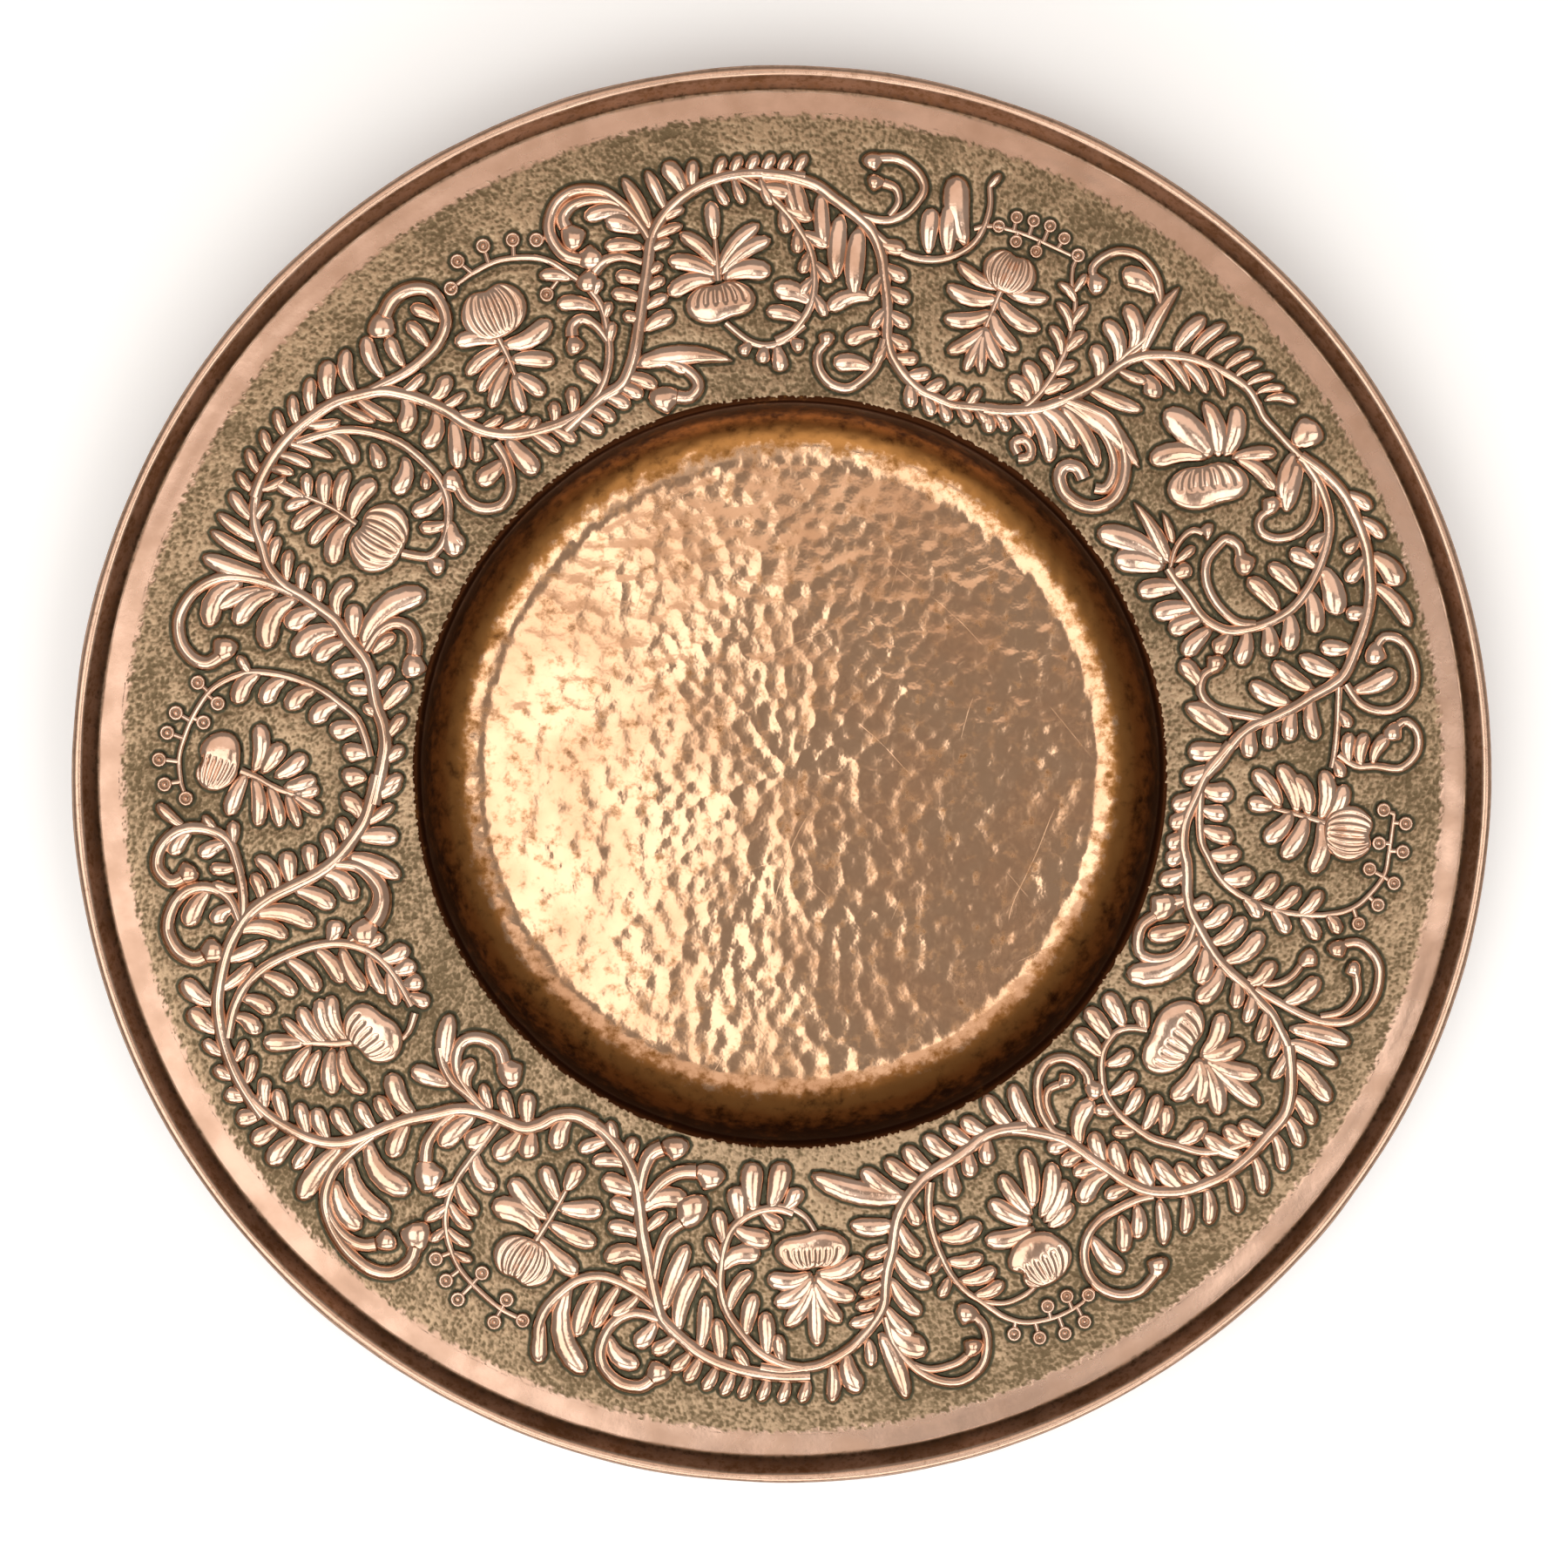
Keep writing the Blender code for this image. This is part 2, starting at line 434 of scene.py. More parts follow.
PATTERN_EDGE = 231.0            # the radius, in mm, where the well's shift has died away
PATTERN_WIDTH = 102.2           # from there in to the well, in mm
PATTERN_SHIFT = (2.8, 1.9)      # the well's shift off the centre, in mm
TWIG_REACH = 12.0               # a berry further than this from every stem has no twig, in mm
TWIG_HALVES = [0.85, 0.75, 0.75]


def on_flange(angle, radius):
    """The place in millimetres of a point given by its angle in degrees and its radius."""
    share = min(max((PATTERN_EDGE - radius) / PATTERN_WIDTH, 0.0), 1.0)
    turn = math.radians(angle)
    across, along = PATTERN_SHIFT
    return (radius * math.cos(turn) + across * share, radius * math.sin(turn) + along * share)


class Stem:
    """A smooth stem through points on the flange, which tapers from one width to another."""

    def __init__(self, *places, width=(2.6, 1.6), pitch=1.3):
        ends = [on_flange(*place) for place in places]
        knots = [ends[0]] + ends + [ends[-1]]
        self.points = [ends[0]]
        for before, start, end, after in zip(knots, knots[1:], knots[2:], knots[3:]):
            steps = max(1, round(math.dist(start, end) / pitch))
            for step in range(1, steps + 1):
                t = step / steps
                self.points.append(tuple(
                    0.5 * (2 * s + (e - b) * t + (2 * b - 5 * s + 4 * e - a) * t ** 2
                           + (3 * s - b - 3 * e + a) * t ** 3)
                    for b, s, e, a in zip(before, start, end, after)))
        self.lengths = [0.0]
        for start, end in zip(self.points, self.points[1:]):
            self.lengths.append(self.lengths[-1] + math.dist(start, end))
        total = self.lengths[-1]
        widths = [width[0] + (width[1] - width[0]) * length / total for length in self.lengths]
        stems.append((self.points, [w / 2 for w in widths]))

    def at(self, share):
        """The point and the heading at a share of the stem's length."""
        target = share * self.lengths[-1]
        index = max(i for i, length in enumerate(self.lengths[:-1]) if length <= target)
        start, end = self.points[index], self.points[index + 1]
        t = (target - self.lengths[index]) / (self.lengths[index + 1] - self.lengths[index])
        place = (start[0] + (end[0] - start[0]) * t, start[1] + (end[1] - start[1]) * t)
        return place, math.atan2(end[1] - start[1], end[0] - start[0])

    def row(self, side, first, last, count, length, lean=(45, 45), width=0.48, curl=-25, sharp=0.15):
        """Leaves along one side: side is 1 on the left of the way it grows and -1 on the right."""
        for index in range(count):
            t = index / max(1, count - 1)
            place, heading = self.at(first + (last - first) * t)
            size = length[0] + (length[1] - length[0]) * t
            angle = lean[0] + (lean[1] - lean[0]) * t
            leaves.append((*place, heading + side * math.radians(angle), size, size * width, 1.0,
                           side * math.radians(curl), sharp))
        return self

    def bulb(self, size, curl=0):
        """The knob that the end of a scroll swells into."""
        place, heading = self.at(0.97)
        leaves.append((*place, heading, size, size * 0.85, 1.35, math.radians(curl), 0.0))
        return self


def leaf(angle, radius, tip_angle, tip_radius, width, bow=0, sharp=0.15, height=1.0):
    """One leaf from its root to its tip; a positive bow swings its middle to the right of that line."""
    root = on_flange(angle, radius)
    tip = on_flange(tip_angle, tip_radius)
    curl = math.radians(bow) * 2
    chord = math.dist(root, tip)
    length = chord if abs(curl) < 0.01 else chord * (curl / 2) / math.sin(curl / 2)
    heading = math.atan2(tip[1] - root[1], tip[0] - root[0]) - curl / 2
    leaves.append((*root, heading, length, width, height, curl, sharp))


def leaf_list(*rows):
    """Several single leaves, each given as leaf() takes it."""
    for row in rows:
        leaf(*row)


def berry(angle, radius, size=2.7):
    """A berry, and the twig that joins it to the nearest stem."""
    place = on_flange(angle, radius)
    near = min((point for points, halves in stems if len(points) > 3 for point in points),
               key=lambda point: math.dist(point, place))
    away = math.dist(near, place)
    berries.append((*place, size))
    if size < away < TWIG_REACH:
        stop = 1.0 - size * 0.8 / away
        spots = [(near[0] + (place[0] - near[0]) * t, near[1] + (place[1] - near[1]) * t)
                 for t in (0.0, stop / 2, stop)]
        stems.append((spots, TWIG_HALVES))


def berry_spray(*places, size=2.7):
    """The berries of one spray."""
    for place in places:
        berry(*place, size)


def fruit(angle, radius, turn, length, width, kind):
    """A fruit: turn is the bearing of its crown in degrees from the outward direction, clockwise."""
    fruits.append((*on_flange(angle, radius), math.radians(angle - turn), length, width, kind))

# From 28 to 62 degrees: two stems that part from one root, a kidney fruit and a hooked scroll.
Stem(
    (62, 140.5), (60, 142.5), (57.5, 146.5), (55.5, 151), (54, 156.5), (52.9, 162), (52, 168),
    (51.4, 175), (50.8, 181), (49.8, 186.5), (48.6, 190.5), (47.2, 194.5), (45.6, 198.3), (43.8, 201),
    (41.8, 203.5), (40, 204.8), (38.3, 204), (37, 203), (35, 203.8), (33, 205), (31.3, 207), (29.6, 210),
    (28, 212.5), width=(4.2, 2.2),
)
Stem(
    (51.5, 176), (51.2, 184), (50.7, 192), (51, 199), (51.9, 206), (53.6, 211.5), (55.8, 213.5),
    (57.6, 211), (58.6, 206), (58.9, 201.5), (58.3, 198.5), width=(2.4, 3),
).bulb(7.5, 40)
Stem((51.3, 180), (50.4, 190), (50.6, 198), (51.7, 204.5), (53.5, 208.3), (55.2, 208), width=(1.6, 2.6))
Stem(
    (57.5, 147), (56.8, 153), (56.5, 160), (56.6, 168), (57.1, 176), (57.9, 183), (58.8, 189),
    (59.8, 192.5), (60.6, 198), width=(3, 1.4),
)
Stem(
    (54.4, 157.5), (51, 160.5), (48, 162.5), (45, 159.8), (42.7, 155.5), (41, 149.5), (40.4, 143.5),
    (41.3, 137.5), (43.4, 134), (46, 133.5), (48, 136.5), (48.2, 140.5), (46.8, 142.8), (45.2, 141.5),
    width=(3.4, 4.6),
)
Stem(
    (54.3, 156.5), (50.5, 157.8), (47, 157.2), (44.2, 153.8), (42.6, 149), (42.2, 144.5), (43.2, 142),
    width=(2.2, 3.6),
)
Stem((28.5, 147.2), (30.3, 151.8), (31.2, 157), (31.2, 161), (30.4, 163), width=(1.6, 2.4))
leaf_list(
    # tall leaves that stand up from the stem towards the border, from the scroll rightwards
    (49.9, 187, 51.2, 213.5, 5.5, -14, 0.7), (47.6, 195, 47.6, 211.5, 5.5, -12),
    (46.2, 198, 45.8, 214.6, 4.3, -16), (44.8, 200, 43.9, 214.8, 4.1, -22),
    (42.9, 203, 42.2, 214.8, 3.6, -22), (41.7, 204, 40.9, 214.6, 3.1, -22),
    (40.4, 205, 39.3, 214.8, 3.1, -26), (39.2, 206, 37.9, 214.8, 3.1, -28),
    (38.2, 206.6, 36.2, 215, 3.4, -36),
    # lower side of the same stem
    (44.9, 200.4, 40.9, 196.4, 3.8, -16, 0.5), (46.5, 194.5, 42.3, 192.6, 4.8, -22, 0.5),
    (48.3, 191.2, 43.6, 188.8, 4.3, -20, 0.7), (49.9, 185.8, 44.7, 185.2, 4.6, -20, 0.8),
    (50.9, 177.5, 47.6, 181.2, 3.8, 10), (48.3, 181.5, 46, 178, 6, -40, 0),
    (52.5, 166, 45.8, 173, 5.3, 8, 0.4),
    # hooks on the left of the stem
    (51, 184.5, 54.4, 196.2, 5.5, 46, 0), (51.3, 178.5, 55.2, 187.5, 5.5, 44, 0),
    (51.9, 170, 54.8, 178.5, 5.5, 40, 0), (52.6, 206.5, 56.2, 204.3, 6.7, 30, 0),
    # the berry stem's leaves, left side then right side
    (57.2, 150, 61, 152.5, 6, 42, 0), (57, 153.5, 60.4, 160.2, 5.5, 44, 0),
    (56.7, 163, 59.4, 167, 4.3, 42, 0), (57, 170, 59.8, 176.2, 4.1, 34),
    (57.5, 178.5, 60.4, 184.6, 3.8, 34, 0.4), (58.6, 188, 61.2, 190.5, 3.6, 30, 0.4),
    (56.4, 155.5, 54.2, 164.5, 5, -14, 0.8), (56.4, 163, 54.8, 171, 4.6, -14, 0.4),
    (56.8, 171.5, 55.9, 181.5, 4.6, -12), (57.7, 180.5, 57.4, 190, 3.8, -10, 0.5),
    (59.3, 190.5, 59.2, 198.5, 3.1, 8),
    # below the root: long leaves that fall to the right
    (57.4, 149.6, 48.7, 146.6, 5.8, -34, 0), (58, 148.2, 50.2, 137, 6.2, -34, 0.3),
    (53.8, 155.5, 44.8, 147.6, 5.5, -18, 0.3), (58.7, 144.2, 54.3, 140.6, 4.3, -20, 0.4),
    (60, 141.2, 57.5, 137.4, 4.3, -10, 0.3), (62, 140, 59.6, 133.8, 5, -12, 0.2),
    (54, 157.5, 41.1, 158, 7.9, -20, 0.9),
    # palmette on the kidney fruit
    (36.3, 184, 39.7, 197.5, 6.5, 30, 0.3), (36.6, 182, 42.1, 190, 6.7, 26, 0.5),
    (37, 180.2, 44.2, 177.5, 10.1, 14, 0.4), (37.2, 178.5, 40.8, 162, 7, 34, 0.1),
    (35.6, 185.5, 33.4, 199.5, 5, -14, 0.2), (35.4, 186.5, 30.3, 192.3, 5.5, -26, 0.2),
    # the fan under it
    (29.2, 147.6, 38.5, 149, 5.5, 10, 0.9), (29.3, 146.6, 38.3, 132, 7.4, 22, 0.1),
    (29, 145.6, 33.6, 131.5, 7.9, 10, 0.2), (31.2, 152.2, 35.2, 154.8, 3.6, 10, 0.9),
    (28.9, 149.5, 29.5, 158.4, 3.4, 6, 0), (30.6, 162.6, 29.8, 166, 5.5, -20, 0),
    (33.4, 206, 33.7, 217.2, 9.1, 8, 0), (32.6, 205.5, 28.9, 193, 6, 20, 0.2),
)
Stem((54.6, 133.5), (55.9, 135.5), (55.2, 138.5), (53.8, 138), (53, 135), (54.2, 132), width=(3.4, 3.4))
fruit(34.6, 173.2, 28, 28, 17, "kidney")
berry(60.7, 202.5, 2.6)

# From 88 to 122 degrees: the garland's out-going stem, its scroll, the long berry stem and a kidney fruit.
Stem(
    (123, 139), (120, 140.5), (116.5, 142.5), (113.2, 143.6), (111, 148.5), (109.5, 154), (108.3, 160),
    (107.2, 166), (106.3, 171.5), (105.3, 177.5), (104.3, 185), (103.5, 189.5), (102, 194.5), (100, 199),
    (98, 202), (96, 203.8), (93.6, 204.5), (91, 204), (88, 203), width=(4.2, 3.6),
)
Stem(
    (120, 141), (116.7, 144), (114.3, 149.3), (112.8, 155.5), (111.9, 163.5), (111.5, 171),
    (112.1, 178.7), (113.1, 184.3), (114.6, 192), (116.4, 196.3), (119, 199.8), (121.7, 200.5),
    width=(3.2, 1.8),
)
Stem(
    (104.2, 188), (104.8, 194.5), (105.8, 201.5), (107.2, 207.5), (109.5, 210.6), (111.5, 208.8),
    (113, 203), (113.3, 197), (112.8, 191.5), (111.5, 188), width=(3, 4.2),
).bulb(9, 50)
Stem(
    (105.6, 199.5), (106.8, 203.5), (108.6, 206), (110.3, 206), (111.5, 203.4), (111.6, 200),
    width=(2.2, 4.4),
).bulb(9, 30)
Stem((105.6, 180.5), (107.5, 184.4), (109.4, 184.8), (110.8, 182.6), width=(2.2, 4.2)).bulb(8, 30)
Stem((112.4, 158), (112.9, 165), (114, 169.4), (115.4, 168.8), (116, 165.6), width=(2.2, 4.2)).bulb(7, 30)
Stem(
    (108.5, 147.5), (105.5, 144.5), (103.6, 139.5), (103.2, 135), (104.8, 132.2), (106.5, 133.4),
    width=(3, 4.2),
).bulb(10, 60)
Stem((97.8, 154.5), (95.3, 147.6), (92.8, 145.5), (90.3, 147.5), (88, 152.5), width=(2.2, 2.6))
Stem((97.9, 169), (97.6, 178), (97.4, 186), width=(2.6, 1.6))
for place in (96.4, 94.9, 93.4, 91.9, 90.4, 88.9):
    leaf(place, 204, place - 1.1, 210.6, 4.2, -14, 0.3)
leaf_list(
    # tall leaves that stand up from the stem towards the border
    (98.7, 201, 98.2, 211, 4.6, -14, 0.2), (99.7, 199.5, 101.1, 211.5, 6, 20, 0),
    (101.8, 195.5, 102.7, 210.5, 4.6, 0, 0.3), (103.7, 190.5, 105, 210, 5.4, 6, 0.4),
    # inside the scroll and down the stem's left side
    (105.2, 196.5, 109.7, 200, 5, 34, 0), (104.8, 190.5, 107.9, 197.6, 6, 14, 0),
    (105, 185, 108.9, 189, 4.8, 20, 0.1), (106, 174, 108.9, 178.6, 4.8, 14, 0.1),
    (106.8, 168, 110, 173.6, 4.8, 14, 0.1), (107.7, 161.5, 109.7, 165.4, 4.2, 10, 0.2),
    # down the stem's right side
    (103.1, 192.3, 99.9, 195, 4.2, -14, 0.3), (103.9, 187.3, 100.4, 189.4, 4, -14, 0.3),
    (104.6, 183.4, 101.8, 185, 3.8, -14, 0.3), (105.5, 176, 103.4, 178, 3.8, -14, 0.2),
    (106.2, 171, 103.6, 173, 4, -14, 0.2), (107, 165, 103.8, 167, 4.2, -14, 0.2),
    (107.9, 158, 103.7, 160.4, 5.4, -20, 0.1),
    # berry stem
    (115.4, 146, 117.3, 156.4, 5.4, 24, 0), (112, 170, 116, 177, 5, 30, 0),
    (112.5, 157.5, 110.8, 164.5, 4.2, -14, 0.2), (113.2, 183, 116.2, 188.6, 4.4, 20, 0.2),
    (111.7, 175, 110.3, 179.4, 4, -14, 0.2), (111.8, 166, 110.2, 171, 4, -14, 0.2),
    # along the well
    (110.6, 148, 97.6, 141.2, 7.2, -20, 0.9, 1.2), (107.6, 146.6, 104.2, 140.2, 4.4, -24, 0.1),
    (112.6, 146, 108.8, 138.2, 5, -20, 0.2), (114, 143.8, 111.2, 136.8, 5, -20, 0.2),
    (116.2, 142.8, 113.5, 135.2, 5, -20, 0.2), (118.6, 141.8, 116.4, 133, 5, -20, 0.2),
    # palmette on the kidney fruit
    (97.5, 183, 97.3, 196.4, 5.2, 0, 0.2), (97.7, 174, 101.1, 187, 5.2, 20, 0.2),
    (97.5, 173, 92.6, 187, 5.2, -20, 0.2), (97.9, 171, 103, 178.5, 5.6, 22, 0.1),
    (97.4, 171, 91.5, 181.6, 5.2, -24, 0.1), (98.2, 169, 103.8, 167, 6, 34, 0.1),
    (97.2, 169, 91.8, 169.6, 6.6, -38, 0.1),
    # buds on the fruit's twig
    (94.9, 147, 96.6, 143.2, 4, 0, 0), (93.2, 145.8, 93.8, 139.4, 4.4, 0, 0),
    (91.6, 145.6, 91.1, 136.2, 5, 0, 0), (89.6, 147.4, 88, 144.4, 4.6, 10, 0),
    (87.8, 153.6, 92.8, 157, 5, 20, 0.1), (87.2, 160, 91.7, 164, 6.6, 34, 0),
    # short leaves under the border row
    (96.7, 203, 95.6, 194, 3.8, 10), (94.8, 203.4, 94, 194, 3.8, 10), (92.3, 203.2, 91.2, 193, 4, 10),
    (89.8, 202.6, 88.8, 190, 4.2, 10),
)
Stem(
    (94.2, 203.5), (92, 198), (90.2, 192), (88.7, 185.5), (87.5, 179), (86.9, 171.5), (86.9, 163.5),
    (87.4, 158), (88.4, 153.5), (89.7, 149.5), (91.7, 147), width=(2.8, 3),
).row(1, 0.1, 0.7, 5, (12, 9), (30, 46), 0.46, -16, 0.2) \
    .row(-1, 0.25, 0.62, 4, (9, 8), (40, 50), 0.5, -20, 0.1)
fruit(98, 161.5, 90, 24, 15, "kidney")
berry_spray((124.2, 200), (122.2, 206.4), (119.4, 206.4), (116.7, 203.5), (114.7, 200), (116.3, 182))

# From 58 to 92 degrees: the in-coming stem with two scrolls, and a ribbed fruit under a berry spray.
Stem(
    (92, 204), (89.7, 203), (87.1, 200.5), (85.3, 196.6), (82.8, 191.2), (81, 186.5), (79.7, 179.5),
    (79, 172.5), (78.2, 164.8), (77.7, 158.5), (77.3, 152.5), (76.4, 147), (75, 143), (73.4, 140),
    (71.3, 137.5), (68.8, 136.9), (66.3, 136.9), (63.7, 139), (61.5, 141.2), (59.5, 143.5),
    width=(4.2, 3.2),
).row(1, 0.36, 0.66, 6, (10, 9), (44, 50), 0.53, 20) \
    .row(-1, 0.44, 0.62, 3, (10, 9), (46, 46), 0.47, -16, 0.3) \
    .row(-1, 0.74, 0.97, 6, (9, 7), (50, 50), 0.55, -16, 0.2) \
    .row(1, 0.72, 0.9, 4, (9, 8), (50, 50), 0.53, 16, 0.2)
Stem(
    (82.7, 191.5), (79.9, 191), (78, 194.5), (76.9, 200.5), (76.7, 205.3), (77.7, 209.8), (79.5, 212.6),
    (81.2, 211.8), width=(2.6, 3.2),
).bulb(7, 50)
Stem((79.5, 193), (78.8, 198), (79.3, 202.5), (80.5, 203.6), width=(2, 3)).bulb(6, 40)
Stem(
    (81.5, 188), (79, 183), (76.4, 180.8), (73.9, 182), (71.9, 185.8), (70.6, 191.2), (70.1, 198.2),
    (70.2, 205.2), (70.8, 211.5), width=(3, 1.8),
)
leaf_list(
    (71.3, 190, 73.9, 212, 8, -16, 0, 1.15), (72.7, 185, 73.7, 203, 6.4, -10, 0.2),
    (74.7, 183.4, 75.4, 199, 5.9, -12, 0.1), (88.9, 202, 87.7, 187.5, 5.4, 8, 0.5),
    (86.4, 198, 85.7, 178.8, 5.9, 8, 0.5), (84.3, 191, 84.3, 168.6, 6.8, 8, 0.6),
    (82.3, 187.5, 82, 163.2, 7.3, 8, 0.6), (79.8, 164, 85, 157.5, 5.4, 40, 0),
    (78.2, 152.5, 82.4, 147, 5.4, 34, 0),
    # palmette on the ribbed fruit
    (66.1, 181, 71.6, 183.5, 5, -22, 0.3), (66.1, 181, 61.2, 185, 5, 22, 0.3),
    (66.1, 177, 72, 175, 5.9, -30, 0.3), (66.1, 177, 60.4, 174.2, 5.9, 30, 0.3),
    (66.2, 172, 71.3, 164, 5.7, -30, 0.3), (66.2, 172, 61.4, 164, 5.7, 30, 0.3),
    (66.2, 166, 69.6, 153, 5.2, -18, 0.3), (66.2, 166, 62, 156.2, 5.2, 18, 0.3),
    (66.2, 164, 66.4, 149, 4.5, 2, 0.3), (66.1, 164, 64.3, 150.4, 4, 8, 0.3),
    (87.8, 164, 91.5, 165, 5.4, 10, 0),
)
Stem((66.2, 181), (66.2, 172), (66.2, 160), width=(2.4, 1.4))
Stem(
    (77.6, 151), (78, 142), (79.5, 136), (81.5, 132.2), (84.1, 133), (85.8, 137.5), (86.1, 143),
    (85.3, 146), width=(3, 3.2),
).bulb(6, 50)
leaf_list((78.5, 140, 83.9, 139.2, 5.7, 30, 0), (70.9, 211, 70.2, 217, 3.1, 0, 0.4))
Stem((71, 196), (69.5, 199), (66.5, 200.6), (63.5, 201), (60.7, 201.5), width=(1.6, 1.2))
fruit(66.1, 186.5, 0, 15, 19, "ribbed")
berry_spray(
    (68.8, 199.8), (67.5, 205), (66.7, 197.2), (65.9, 206.2), (64.3, 207), (64.5, 197), (62.6, 205.4),
    size=2.4,
)

# From 118 to 152 degrees: the in-coming stem with a row of border leaves, a loop, and two ribbed fruits.
Stem(
    (152, 203), (150, 204), (147.5, 204.2), (145, 203.2), (142.5, 201), (140, 198), (138, 193.5),
    (136.2, 189), (135, 183.5), (133.9, 177), (132.9, 169), (132.2, 160.5), (131, 154), (129.2, 149),
    (126.6, 145), (123, 142), (120, 141), width=(4.2, 3.8),
)
Stem(
    (138.2, 193.5), (136, 190.8), (133.5, 188), (131, 187), (128.6, 188), (126.6, 192), (125.9, 198),
    (126, 204), (127.4, 208), (129.2, 208.8), (130.8, 206.5), width=(3, 5),
).bulb(10, 30)
Stem(
    (145.4, 200), (143.6, 195.5), (141.6, 189.5), (140, 181), (139.1, 172), (139.1, 163), (139.6, 155),
    (141, 148.5), (143.3, 144), (146, 141.3), (148.5, 142.3), (149.4, 146), (150, 151), width=(3, 3),
)
Stem(
    (131.4, 150), (132, 143), (134, 135.8), (136.8, 133.6), (139, 137.5), (139.6, 143.5), (139, 148),
    width=(3.4, 3.6),
).bulb(8, 40)
Stem((123.2, 178), (123.6, 170), (124.3, 162), width=(2.4, 1.6))
Stem((149.6, 169), (149.3, 178), (149.5, 186), (149.8, 192), width=(2.6, 1.6))
Stem((124.4, 200), (121, 200.4), (118.5, 199.2), (116.5, 196.5), width=(1.4, 1.8))
leaf_list(
    # the border row
    (151.5, 203.5, 150.5, 212, 4, -20, 0.3), (149.8, 204.3, 148.2, 212.8, 4.2, -20, 0.3),
    (147.6, 204.3, 146, 212, 4.2, -20, 0.3), (145.5, 203.6, 143.8, 212, 4.2, -20, 0.3),
    (144, 202.5, 141.8, 210.6, 4.4, -20, 0.3), (142.3, 201, 139.5, 209.4, 4.8, -20, 0.2),
    (140.2, 199.4, 137.2, 208.4, 6, -24, 0.1), (138, 195, 135.3, 206.8, 5, -34, 0.1),
    (135, 191.5, 133.2, 205.6, 5.4, -26, 0.1), (132.7, 189.5, 131.7, 200.5, 5, -20, 0.1),
    (129.6, 189, 129.7, 200, 4.8, 16, 0.1), (127, 193, 128.5, 203, 4.8, 20, 0.1),
    # between the stem and the loop
    (149, 203.5, 148.2, 195, 3.8, -14, 0.4), (147.4, 203.4, 146.7, 191.4, 4.2, -14, 0.4),
    (146, 203, 144.7, 187, 4.2, -8, 0.5), (143.4, 195, 144.2, 180.5, 5.4, -50, 0),
    (141.2, 180, 142.9, 172.4, 5.2, -16, 0.1), (140.2, 169, 144.2, 165, 5.8, -50, 0),
    (140, 160.5, 141.8, 156.3, 3.8, -16, 0.2), (140.3, 152, 145, 156, 5.6, -34, 0.1),
    (143.5, 144, 146, 151, 4.6, -24, 0.2), (143, 143.5, 146.4, 134.4, 6.6, 20, 0, 1.15),
    (144.4, 143, 144.8, 134.6, 4.2, 0, 0.2), (148.7, 142.5, 149.3, 136, 5.4, 20, 0),
    (143.6, 201.8, 141.1, 192.6, 3.8, 16, 0.3), (140, 198.6, 139, 183.2, 4, 10, 0.4),
    (138.4, 194, 137.6, 178.6, 4.8, 10, 0.5), (135.2, 183, 138.1, 176, 6, -56, 0),
    (134, 172, 137.7, 167.4, 6.2, -56, 0), (133.2, 165.5, 137.2, 152.5, 6, -10, 0.2),
    (132.4, 157, 135, 149.6, 4.8, -10, 0.2), (132.2, 144, 136.8, 145.2, 6.4, -16, 0.1),
    # towards the ribbed fruit's palmette
    (135.2, 184, 131.7, 183, 3.8, 16, 0.2), (133.4, 176, 130.2, 178.4, 5.4, 44, 0),
    (133, 171, 129.8, 169.4, 3.8, 16, 0.3), (132.4, 166, 129.5, 160.6, 4, 16, 0.3),
    (131.4, 157, 128.2, 155.2, 3.6, 10, 0.3), (129.8, 152.6, 125.6, 149.4, 3.8, 10, 0.3),
    (127.6, 147, 124.8, 148.2, 3.8, 24, 0.1), (123.8, 143, 122.3, 149.8, 4.4, 24, 0.1),
    (121, 142.6, 119.4, 151, 4.8, 24, 0.1), (129.8, 149, 129.8, 132.8, 6.8, 6, 0.1, 1.1),
    (127.2, 146.6, 125.4, 133.6, 4.6, -8, 0.2), (124.6, 143.4, 122.6, 133.6, 4.6, -8, 0.2),
    (121, 141, 118.6, 131.4, 5, -10, 0.2),
    # palmettes of the two fruits
    (123.4, 176, 127.4, 184, 5.6, 30, 0.1), (123.4, 174, 128.6, 173.4, 5, 16, 0.2),
    (123.6, 171, 128.8, 166.4, 5, 10, 0.2), (123.9, 168, 128.9, 159.4, 5, 10, 0.2),
    (124.3, 164, 126, 151.6, 4.8, 10, 0.2), (124.1, 164, 122.6, 152.6, 5.6, -10, 0.2),
    (123.5, 169, 119.2, 160.6, 5.8, -10, 0.2), (123.2, 175, 117.3, 174.4, 6.6, 34, 0.1),
    (149.4, 171, 144.2, 170.6, 6.4, -34, 0.1), (149.3, 176, 144.8, 180.6, 5.2, -24, 0.2),
    (149.3, 181, 146.3, 186.4, 5.4, -20, 0.2), (149.5, 187, 147.4, 191.6, 4.4, -16, 0.2),
    (149.7, 188, 149.9, 200, 4.4, 0, 0.2), (149.7, 186, 151.8, 192, 4.2, 20, 0.2),
    (149.5, 181, 153.4, 186.6, 5.2, 20, 0.2), (149.4, 175, 154, 179, 5.2, 24, 0.2),
    (149.6, 170, 154.8, 168.8, 6.4, 44, 0),
)
fruit(122, 185.6, 10, 19, 23, "ribbed")
fruit(149.7, 160, 0, 19, 25, "ribbed")

